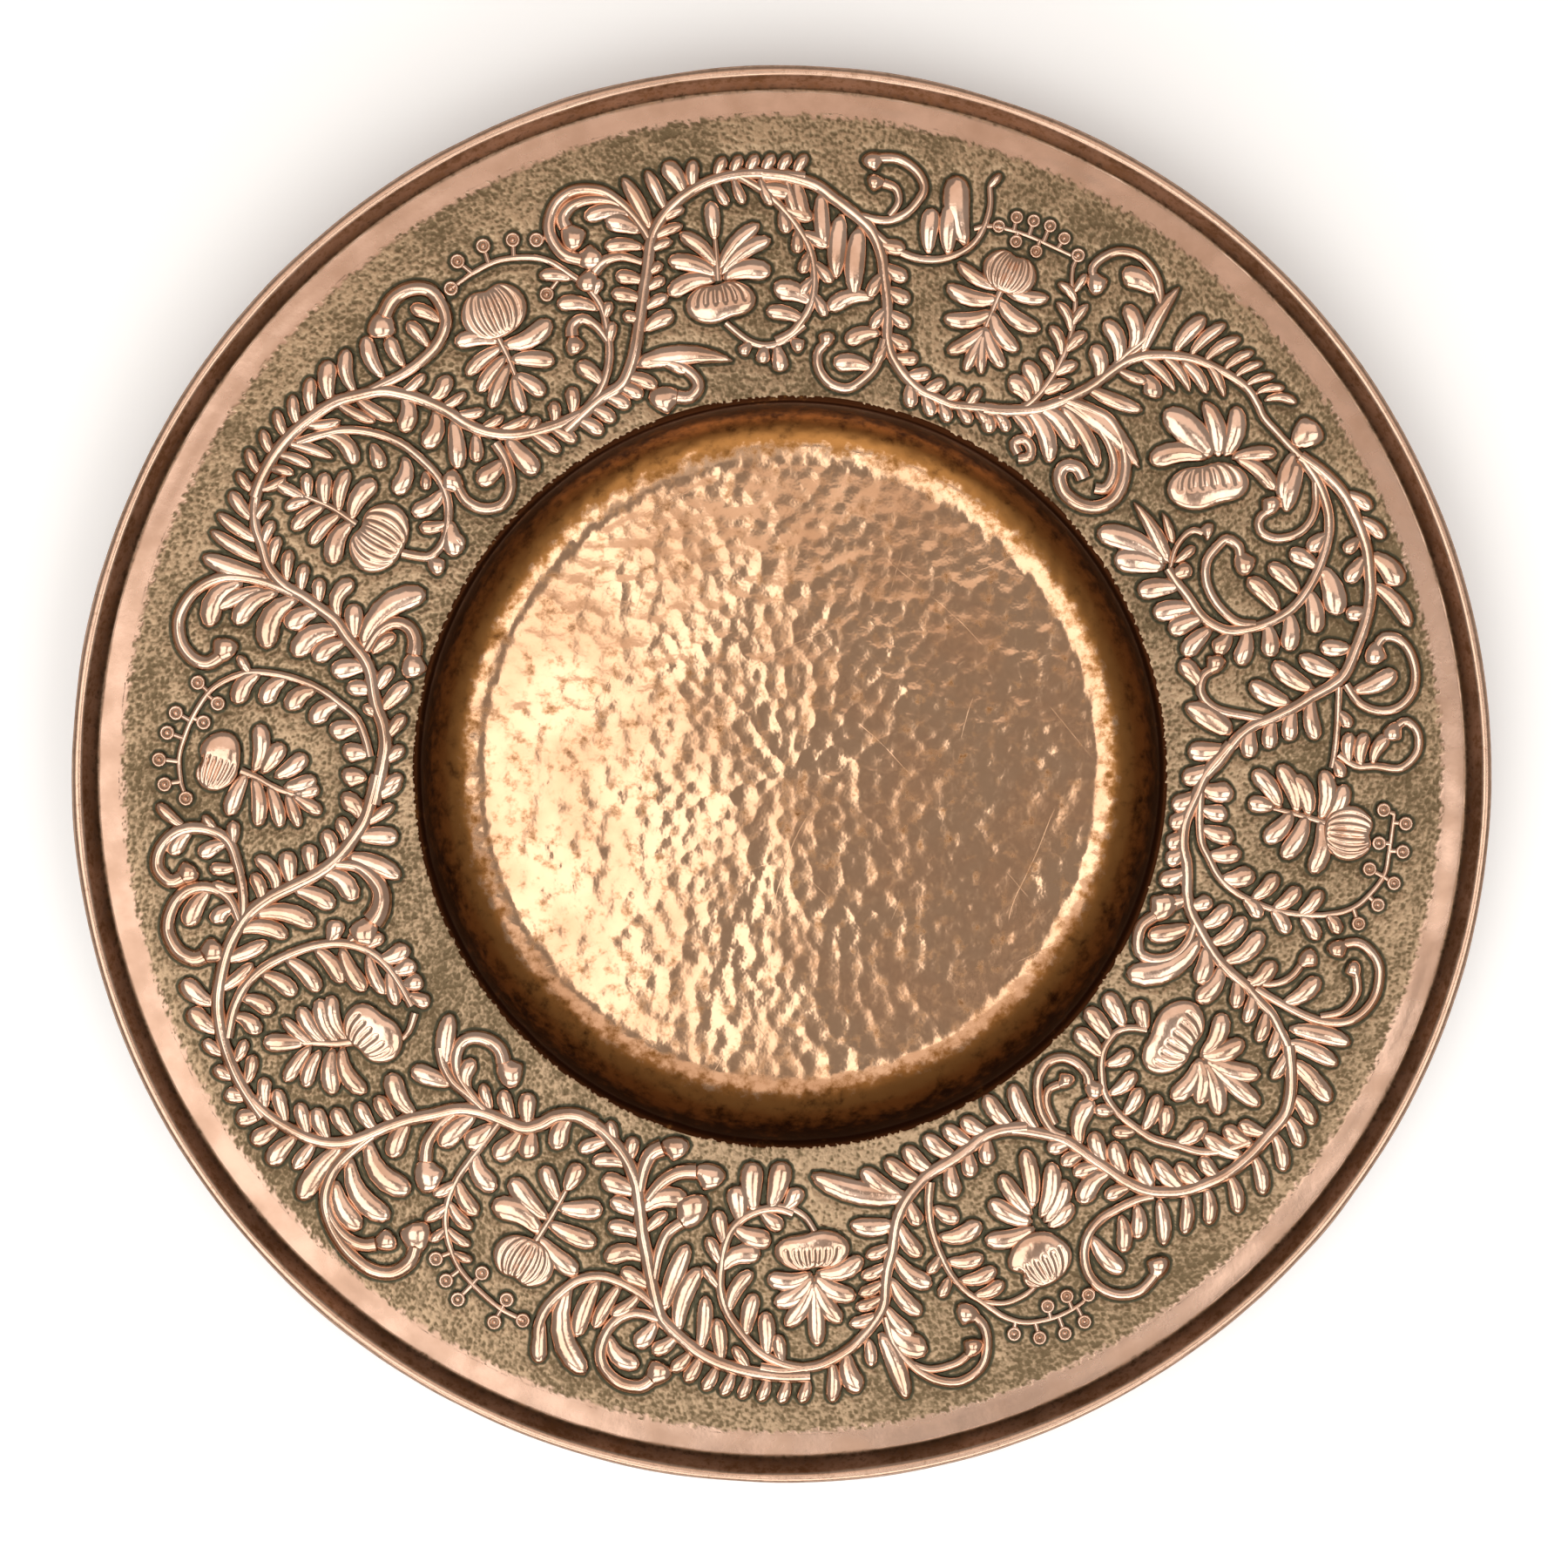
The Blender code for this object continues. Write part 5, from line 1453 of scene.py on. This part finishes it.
def make_fruits(chosen):
    body = bmesh.new()
    for x, y, turn, length, width, kind in chosen:
        base = flange_top(math.hypot(x, y))
        crown = body.verts.new((x * MM, y * MM, base + FRUIT_HEIGHT * (1.0 - 0.16 * rib_cut(kind, 0.0, 0.0))))
        rings = []
        for ring in range(1, FRUIT_RINGS + 2):
            share = math.sin(min(ring / FRUIT_RINGS, 1.0) * math.pi / 2)
            spots = []
            for spoke in range(FRUIT_SPOKES):
                bearing = math.tau * spoke / FRUIT_SPOKES
                reach = fruit_outline(kind, bearing) * share
                along, across = math.cos(bearing) * reach, math.sin(bearing) * reach
                px = x + math.cos(turn) * along * length / 2 - math.sin(turn) * across * width / 2
                py = y + math.sin(turn) * along * length / 2 + math.cos(turn) * across * width / 2
                dome = max(0.0, 1.0 - share ** 3.2) ** 0.5
                if ring > FRUIT_RINGS:
                    z = base - ROOT_DEPTH
                else:
                    cut = RIB_CUT * rib_cut(kind, along, across) * dome
                    z = base + FRUIT_HEIGHT * (0.26 + 0.74 * dome) - cut
                spots.append(body.verts.new((px * MM, py * MM, z)))
            rings.append(spots)
        skin_rings(body, crown, rings)
    mesh = bpy.data.meshes.new("chased_fruits")
    body.to_mesh(mesh)
    body.free()
    mesh.shade_smooth()
    mesh.materials.append(rubbed_copper)
    obj = bpy.data.objects.new("chased_fruits", mesh)
    bpy.context.collection.objects.link(obj)
    return obj


fruit_piece = make_fruits(fruits)
dress(fruit_piece)

# ---------------------------------------------------------------------------------------------
# Berries
# Each berry is one blow of a ring punch: a raised ring with a small round seed left standing in it.
# ---------------------------------------------------------------------------------------------
BERRY_SPOKES = 12
# from the seed outwards: (radius, height) in radii of the berry
BERRY_SECTION = ((0.0, 0.42), (0.20, 0.34), (0.34, 0.05), (0.52, 0.08), (0.64, 0.46), (0.82, 0.52),
                 (0.97, 0.30), (1.0, -0.25))


def berry_cell():
    body = bmesh.new()
    crown = body.verts.new((0.0, 0.0, BERRY_SECTION[0][1]))
    bearings = [math.tau * spoke / BERRY_SPOKES for spoke in range(BERRY_SPOKES)]
    rings = [[body.verts.new((reach * math.cos(bearing), reach * math.sin(bearing), height))
              for bearing in bearings] for reach, height in BERRY_SECTION[1:]]
    skin_rings(body, crown, rings)
    mesh = bpy.data.meshes.new("berry_cell")
    body.to_mesh(mesh)
    body.free()
    obj = bpy.data.objects.new("berry_cell", mesh)
    bpy.context.collection.objects.link(obj)
    return obj


def plant_berries(cell_object):
    tree, (roots, cell, copper) = start_tree("plant_berries", Berry_cell=cell_object,
                                             Copper=rubbed_copper)
    shape = put(tree, "GeometryNodeObjectInfo", Object=cell, out="Geometry")
    size = named(tree, "size")
    planted = put(tree, "GeometryNodeInstanceOnPoints", Points=roots, Instance=shape,
                  Scale=join(tree, size, size, size))
    end_tree(tree, planted, copper)
    return tree


berry_object = berry_cell()
berry_mesh = bpy.data.meshes.new("chased_berries")
berry_mesh.from_pydata([(x * MM, y * MM, flange_top(math.hypot(x, y))) for x, y, size in berries], [], [])
berry_sizes = berry_mesh.attributes.new("size", "FLOAT", "POINT")
berry_sizes.data.foreach_set("value", [size * MM for x, y, size in berries])
berry_roots = bpy.data.objects.new("chased_berries", berry_mesh)
bpy.context.collection.objects.link(berry_roots)
berry_piece = grow(berry_roots, plant_berries(berry_object), Berry_cell=berry_object, Copper=rubbed_copper)
bpy.data.objects.remove(berry_object)
dress(berry_piece)

# ---------------------------------------------------------------------------------------------
# Matted ground
# Round the ornament the flange is sunk a little and matted with a punch, blow beside blow, so that it
# sparkles dully and holds the dark patina; the peaks of the blows are painted lighter as painted glints.
# It stops at a ragged edge short of the smooth border.
# ---------------------------------------------------------------------------------------------
MATTING_PITCH = 0.0016
MATTING_DEPTH = 0.00030
UNEVEN_PITCH = 0.0011       # the blows' own unevenness
SUNK_DEPTH = 0.00045        # how far the ground is sunk right beside the ornament
GROUND_START = FLANGE_START - 0.0024
GROUND_END = 0.2254
MATTED_END = 0.2246
GROUND_RINGS = 184
GROUND_SECTORS = 8
SECTOR_STEPS = 256
EARTH = (0.145, 0.102, 0.056)
# a lighter copper tone, used both as random tone and as a painted glint on the peaks of the matting
BRIGHT_TONE_AND_PAINTED_GLINT = (0.38, 0.265, 0.165)
BORDER = (0.50, 0.33, 0.245)
BORDER_DULL = (0.40, 0.25, 0.175)


def flange_copper():
    """Ground and border in one material, by how matted a point is and how near the ornament it lies."""
    material, tree, shader, place = start_material("flange_copper", BORDER, 0.30)
    matted = put(tree, "ShaderNodeAttribute", {"attribute_name": "matted"}, out="Fac")
    cut = put(tree, "ShaderNodeAttribute", {"attribute_name": "cut"}, out="Fac")
    peak = put(tree, "ShaderNodeAttribute", {"attribute_name": "peak"}, out="Fac")
    cloud = noise(tree, place, 0.045, 4.0)
    smudge = noise(tree, place, 0.012, 4.0)
    grit = noise(tree, place, 0.0009, 3.0)
    border = blend_colour(tree, (smudge * 0.6 + cloud * 0.4).ramp(0.36, 0.66), BORDER, BORDER_DULL)
    # painted glints on the peaks of the blows, mixed with random lighter and darker tone from the noises
    tone_and_painted_glint = (peak * 0.8 + (grit - 0.5) * 0.8 + (cloud - 0.5) * 1.1 + (smudge - 0.5) * 0.7).ramp(0.30, 1.05)
    ground = blend_colour(tree, tone_and_painted_glint, EARTH, BRIGHT_TONE_AND_PAINTED_GLINT)
    ground = blend_colour(tree, (cut + (smudge - 0.5) * 0.5).ramp(0.15, 0.8), ground, PATINA)
    plug(tree, blend_colour(tree, matted, border, ground), shader.inputs["Base Color"])
    rough_ground = tone_and_painted_glint * -0.16 + 0.50
    rough_border = (smudge - 0.5) * 0.22 + 0.27
    plug(tree, rough_border + (rough_ground - rough_border) * matted, shader.inputs["Roughness"])
    plug(tree, bumped(tree, grit * matted * 0.6 + smudge * 0.5, 0.00025), shader.inputs["Normal"])
    return material


flange_finish = flange_copper()


def gap_to(tree, ornament, **sample):
    """Distance from the surface, or from sampled places, to the nearest of the ornament's pieces."""
    joined = tree.nodes.new("GeometryNodeJoinGeometry")
    for item in reversed(ornament):
        shape = put(tree, "GeometryNodeObjectInfo", Object=item, out="Geometry")
        tree.links.new(shape.socket, joined.inputs[0])
    whole = Field(tree, joined.outputs[0])
    return put(tree, "GeometryNodeProximity", Geometry=whole, out="Distance", **sample)


def mat_the_ground():
    tree, (net, start, end, copper, *ornament) = start_tree(
        "mat_the_ground", First_angle=0.0, Last_angle=0.0, Copper=flange_finish, **ornament_inputs)
    across, around, flat = split(put(tree, "GeometryNodeInputPosition"))
    radius = (across + 0.5) * (GROUND_END - GROUND_START) + GROUND_START
    angle = (around + 0.5) * (end - start) + start
    share = radius.ramp(FLANGE_START, FLANGE_END, 1.0, 0.0, smooth=False)
    x = radius * angle.maths("COSINE") + share * WELL_OFFSET.x
    y = radius * angle.maths("SINE") + share * WELL_OFFSET.y
    rise = upper_face(radius)
    bend_radius = SHOULDER_RADIUS + SHEET / 2
    past = (radius * -1.0 + FLANGE_START).maths("MAXIMUM", 0.0)
    drop = (past * past * -1.0 + bend_radius ** 2).maths("SQRT") * -1.0 + bend_radius
    level = rise - drop
    place = join(tree, x, y, level)
    gap = gap_to(tree, ornament, Sample_Position=place)
    ragged = put(tree, "ShaderNodeTexNoise", Vector=place, Scale=420.0, Detail=2.0)
    blow = put(tree, "ShaderNodeTexVoronoi", Vector=place, Scale=1.0 / MATTING_PITCH, Randomness=0.9)
    uneven = put(tree, "ShaderNodeTexNoise", Vector=place, Scale=1.0 / UNEVEN_PITCH, Detail=1.0)
    peak = blow.ramp(0.10, 0.62) * 0.75 + uneven.ramp(0.35, 0.65) * 0.45
    edge = radius + (ragged - 0.5) * 0.0062 + (peak - 0.5) * 0.0016
    matted = edge.ramp(MATTED_END - 0.0008, MATTED_END + 0.0004, 1.0, 0.0)
    cut = gap.ramp(0.0003, 0.0016, 1.0, 0.0)
    sunk = gap.ramp(0.0003, 0.0036, SUNK_DEPTH, 0.0)
    height = level + (peak - 0.55) * MATTING_DEPTH * matted - sunk * matted
    shaped = net
    for name, value in (("matted", matted), ("peak", peak), ("cut", cut)):
        shaped = put(tree, "GeometryNodeStoreNamedAttribute", {"domain": "POINT"}, Geometry=shaped,
                     Name=name, Value=value)
    shaped = put(tree, "GeometryNodeSetPosition", Geometry=shaped, Position=join(tree, x, y, height))
    end_tree(tree, shaped, copper)
    return tree


def plain_net(name, rings, steps):
    """A unit net of points: x runs outwards, y runs round."""
    x, y = np.meshgrid(np.linspace(-0.5, 0.5, rings), np.linspace(-0.5, 0.5, steps), indexing="ij")
    points = np.column_stack((x.ravel(), y.ravel(), np.zeros(x.size)))
    ring, step = np.meshgrid(np.arange(rings - 1), np.arange(steps - 1), indexing="ij")
    corner = (ring * steps + step).ravel()
    faces = np.column_stack((corner, corner + steps, corner + steps + 1, corner + 1))
    mesh = bpy.data.meshes.new(name)
    mesh.from_pydata(points.tolist(), [], faces.tolist())
    obj = bpy.data.objects.new(name, mesh)
    bpy.context.collection.objects.link(obj)
    return obj


ornament_pieces = [stem_piece, fruit_piece, berry_piece] + leaf_pieces
ornament_inputs = {f"Ornament_{index + 1}": piece for index, piece in enumerate(ornament_pieces)}
ground_tree = mat_the_ground()
for sector in range(GROUND_SECTORS):
    net = plain_net(f"matted_ground_{sector + 1}", GROUND_RINGS, SECTOR_STEPS + 1)
    dress(grow(net, ground_tree, First_angle=math.tau * sector / GROUND_SECTORS,
               Last_angle=math.tau * (sector + 1) / GROUND_SECTORS, Copper=flange_finish, **ornament_inputs))

# ---------------------------------------------------------------------------------------------
# Border, lip and rolled bead
# The smooth border outside the matting, the lip that turns up from it and the bead its edge is rolled
# into, all planished by eye, so the edge is never quite a circle. The lip is painted dark brown in patches,
# a painted shade for the dark it reflects, and is painted darkest in the bend at its foot.
# ---------------------------------------------------------------------------------------------
RIM_SEGMENTS = 960
BORDER_PITCH = 0.0011
LIP_PITCH = 0.0009
LIP_BEND_STEPS = 8
ROLL_STEPS = 28
ROLL_START = math.pi / 2 + LIP_SLOPE
TUCKED = 4                  # the back of the border stops this many points short of its inner edge
BORDER_BLOW = 0.0060
BORDER_BLOW_DEPTH = 0.00002
RIM_SWAY = 0.0011
NO_END = 1.0                # an outer radius that lets the marks run to the edge
# painted shade: the lip's dark brown, and the darker colour in the bend at its foot
LIP_PAINTED_SHADE = (0.21, 0.115, 0.06)
LIP_FOOT_PAINTED_SHADE = (0.085, 0.050, 0.026)
BEAD = (0.56, 0.37, 0.27)


def rim_copper():
    material, tree, shader, place = start_material("rim_copper", BORDER, 0.28)
    x, y, z = split(place)
    radius = from_axis(place)
    smudge = noise(tree, place, 0.012, 4.0)
    cloud = noise(tree, place, 0.045, 4.0)
    spots = noise(tree, place, 0.0022, 4.0, 0.65)
    border = blend_colour(tree, (smudge * 0.6 + cloud * 0.4).ramp(0.36, 0.66), BORDER, BORDER_DULL)
    # the lip is painted dark brown in patches: painted shade for the dark it reflects
    lip = blend_colour(tree, (spots * 0.6 + smudge * 0.4).ramp(0.36, 0.62), LIP_PAINTED_SHADE, BORDER_DULL)
    # painted shade, darkest in the bend at the foot of the lip
    grime_and_painted_shade = (spots - 0.5 + (radius - LIP_FOOT.x).maths("ABSOLUTE") * -160.0).ramp(-0.35, 0.15)
    lip = blend_colour(tree, grime_and_painted_shade, lip, LIP_FOOT_PAINTED_SHADE)
    on_lip = (radius + (smudge - 0.5) * 0.002).ramp(LIP_FOOT.x - 0.0014, LIP_FOOT.x - 0.0004)
    on_bead = z.ramp(LIP_TOP.y + 0.0004, LIP_TOP.y + 0.0011)
    tone = blend_colour(tree, on_lip, border, lip)
    tone = blend_colour(tree, on_bead * spots.ramp(0.25, 0.5, 0.55, 1.0), tone, BEAD)
    plug(tree, tone, shader.inputs["Base Color"])
    plug(tree, (smudge - 0.5) * 0.22 + 0.27 + on_lip * 0.10 - on_bead * 0.12, shader.inputs["Roughness"])
    plug(tree, bumped(tree, smudge * 0.5 + spots * 0.12, 0.00025), shader.inputs["Normal"])
    return material


rim_finish = rim_copper()
rim_middle = []
for point in run(Vector((GROUND_END - 0.0004, FLANGE_HEIGHT)), LIP_FOOT, BORDER_PITCH):
    climb = (point.x - FLANGE_START) / (LIP_FOOT.x - FLANGE_START)
    if point.x < FLANGE_END - 0.0003:
        rim_middle.append(Vector((point.x, FLANGE_HEIGHT + FLANGE_RISE * climb)))
rim_middle += bend(SHOULDER, LIP_FOOT, LIP_TOP, LIP_BEND_RADIUS, LIP_BEND_STEPS)
rim_middle += run(rim_middle[-1], LIP_TOP, LIP_PITCH)[1:]
for step in range(ROLL_STEPS + 1):
    angle = ROLL_START - ROLL_TURN * step / ROLL_STEPS
    rim_middle.append(ROLL_CENTRE + Vector((math.cos(angle), math.sin(angle))) * ROLL_RADIUS)
rim_outline = beside(rim_middle, SHEET / 2) + beside(rim_middle, -SHEET / 2)[::-1][:-TUCKED]
rim_piece = turned("border_lip_and_bead", rim_outline, RIM_SEGMENTS, True)
grow(rim_piece, planish_tree, Mark_size=BORDER_BLOW, Mark_depth=BORDER_BLOW_DEPTH, Sway=RIM_SWAY,
     Inner_radius=GROUND_END + 0.0002, Outer_radius=NO_END, Copper=rim_finish)
dress(rim_piece)

# ---------------------------------------------------------------------------------------------
# Underside
# The back of the same sheet: the stake's and hammer's marks all over, faint hollows where the ornament
# was driven up, and dull brown copper that has never been polished.
# ---------------------------------------------------------------------------------------------
BACK_SEGMENTS = 640
BACK_PITCH = 0.0022
BACK_FLANGE_PITCH = 0.0013
BACK_HEEL_STEPS = 14
BACK_BEND_STEPS = 5
BACK_BLOW = 0.0075
BACK_BLOW_DEPTH = 0.00004
BACK_MARKS_END = 0.2255     # the back's marks fade out at this radius, at the foot of the lip
HOLLOW_DEPTH = 0.00010      # how far the back is lifted under the ornament
BACK_TONE = (0.46, 0.25, 0.15)
BACK_DARK = (0.22, 0.115, 0.065)


def back_copper():
    material, tree, shader, place = start_material("back_copper", BACK_TONE, 0.42)
    cloud = noise(tree, place, 0.050, 5.0, 0.6)
    blotch = noise(tree, place, 0.0080, 4.0, 0.6)
    fine = noise(tree, place, 0.0016, 2.0)
    tone = blend_colour(tree, (cloud * 0.6 + blotch * 0.4).ramp(0.38, 0.62), BACK_TONE, BACK_DARK)
    plug(tree, tone, shader.inputs["Base Color"])
    plug(tree, blotch.ramp(0.3, 0.7, 0.34, 0.55) + (fine - 0.5) * 0.1, shader.inputs["Roughness"])
    dents = noise(tree, place, 0.0045, 2.0) * 0.4 + fine * 0.05
    plug(tree, bumped(tree, dents, 0.0003), shader.inputs["Normal"])
    return material


def hollow_the_back():
    tree, (sheet, copper, *ornament) = start_tree("hollow_the_back", Copper=back_finish, **ornament_inputs)
    gap = gap_to(tree, ornament)
    lift = join(tree, 0.0, 0.0, gap.ramp(0.0003, 0.0030, HOLLOW_DEPTH, 0.0))
    hollowed = put(tree, "GeometryNodeSetPosition", Geometry=sheet, Offset=lift)
    end_tree(tree, hollowed, copper)
    return tree


back_finish = back_copper()
back_line = run(floor_middle, Vector((FLAT_RADIUS, FLOOR_HEIGHT)), BACK_PITCH)
back_line += bend(floor_middle, HEEL, SHOULDER, HEEL_RADIUS, BACK_HEEL_STEPS)
back_line += bend(HEEL, SHOULDER, LIP_FOOT, SHOULDER_RADIUS, BACK_BEND_STEPS)
back_line += run(back_line[-1], Vector((FLANGE_END, FOOT_HEIGHT)), BACK_FLANGE_PITCH)[1:]
back_line += bend(SHOULDER, LIP_FOOT, LIP_TOP, LIP_BEND_RADIUS, BACK_BEND_STEPS)
back_piece = turned("underside", beside(back_line, -SHEET / 2), BACK_SEGMENTS, False)
grow(back_piece, planish_tree, Mark_size=BACK_BLOW, Mark_depth=BACK_BLOW_DEPTH, Sway=0.0,
     Inner_radius=EVERYWHERE, Outer_radius=BACK_MARKS_END, Copper=back_finish)
grow(back_piece, hollow_the_back(), Copper=back_finish, **ornament_inputs)
dress(back_piece)

# ---------------------------------------------------------------------------------------------
# Edge wire
# The copper wire that the edge is rolled around; only a line of it shows through the seam underneath.
# ---------------------------------------------------------------------------------------------


def wire_copper():
    material, tree, shader, place = start_material("wire_copper", BACK_TONE, 0.45)
    grime_and_painted_shade = noise(tree, place, 0.006, 3.0)
    plug(tree, blend_colour(tree, grime_and_painted_shade.ramp(0.4, 0.6), BACK_TONE, BACK_DARK), shader.inputs["Base Color"])
    plug(tree, grime_and_painted_shade.ramp(0.3, 0.7, 0.38, 0.55), shader.inputs["Roughness"])
    return material


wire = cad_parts["edge_wire"]
wire.data.materials.clear()
wire.data.materials.append(wire_copper())

# ---------------------------------------------------------------------------------------------
# Table, light and camera
# The tray lies face up on a plain white table that glows a little, and is seen from almost straight
# above. Soft lights hang to the left, to the right and at both edges, and a low one stands in front.
# ---------------------------------------------------------------------------------------------
TABLE_REACH = 6.0
TABLE_DROP = 0.0004         # the table lies this far below the tray's underside
LIGHT_HEIGHT = 1.50
ROOM_COLOUR = (0.38, 0.355, 0.33, 1.0)

table_material = bpy.data.materials.new("pale_table")
table_material.use_nodes = True
table_shader = table_material.node_tree.nodes["Principled BSDF"]
table_shader.inputs["Base Color"].default_value = (1.0, 1.0, 1.0, 1.0)
table_shader.inputs["Roughness"].default_value = 0.9
table_shader.inputs["Emission Color"].default_value = (0.90, 0.96, 1.0, 1.0)
table_shader.inputs["Emission Strength"].default_value = 0.14
table_mesh = bpy.data.meshes.new("table")
square = ((-1, -1), (1, -1), (1, 1), (-1, 1))
corners = [(x * TABLE_REACH, y * TABLE_REACH, -TABLE_DROP) for x, y in square]
table_mesh.from_pydata(corners, [], [(0, 1, 2, 3)])
table_mesh.materials.append(table_material)
table = bpy.data.objects.new("table", table_mesh)
bpy.context.collection.objects.link(table)


def soft_light(name, place, aim, width, height, power, colour=(1.0, 0.985, 0.96)):
    light = bpy.data.lights.new(name, "AREA")
    light.shape = "RECTANGLE"
    light.size, light.size_y = width, height
    light.energy = power
    light.color = colour
    lamp = bpy.data.objects.new(name, light)
    lamp.location = place
    lamp.rotation_euler = (Vector(aim) - Vector(place)).to_track_quat("-Z", "Y").to_euler()
    bpy.context.collection.objects.link(lamp)


def hanging_light(name, x, y, width, height, power, *colour):
    """A soft light over the table that points straight down."""
    soft_light(name, (x, y, LIGHT_HEIGHT), (x, y, 0.0), width, height, power, *colour)


hanging_light("left_light", -0.63, -0.52, 1.16, 1.26, 9.9)
hanging_light("lower_light", 0.11, -0.80, 0.44, 0.70, 0.4)
hanging_light("right_light", 0.83, -0.60, 1.00, 1.10, 7.6)
hanging_light("upper_light", 0.0, 0.62, 2.2, 1.0, 5.8, (1.0, 0.84, 0.73))
soft_light("front_light", (0.0, -1.90, 1.20), (0.0, 0.0, 0.02), 2.4, 0.9, 17.0)

world = bpy.data.worlds.new("room")
bpy.context.scene.world = world
world.use_nodes = True
world.node_tree.nodes["Background"].inputs["Color"].default_value = ROOM_COLOUR
world.node_tree.nodes["Background"].inputs["Strength"].default_value = 1.0

TILT = math.radians(3.0)
LIP_LEVEL = 0.036
DISTANCE = 1.2495
aim = Vector((0.00074, 0.0036, LIP_LEVEL))
lens = bpy.data.cameras.new("camera")
lens.lens = 85.0
lens.sensor_width = 36.0
camera = bpy.data.objects.new("camera", lens)
camera.location = aim + Vector((0.0, math.sin(TILT), math.cos(TILT))) * DISTANCE
camera.rotation_euler = (-TILT, 0.0, 0.0)
bpy.context.collection.objects.link(camera)
bpy.context.scene.camera = camera
bpy.context.scene.view_settings.view_transform = "Standard"

bpy.context.view_layer.update()
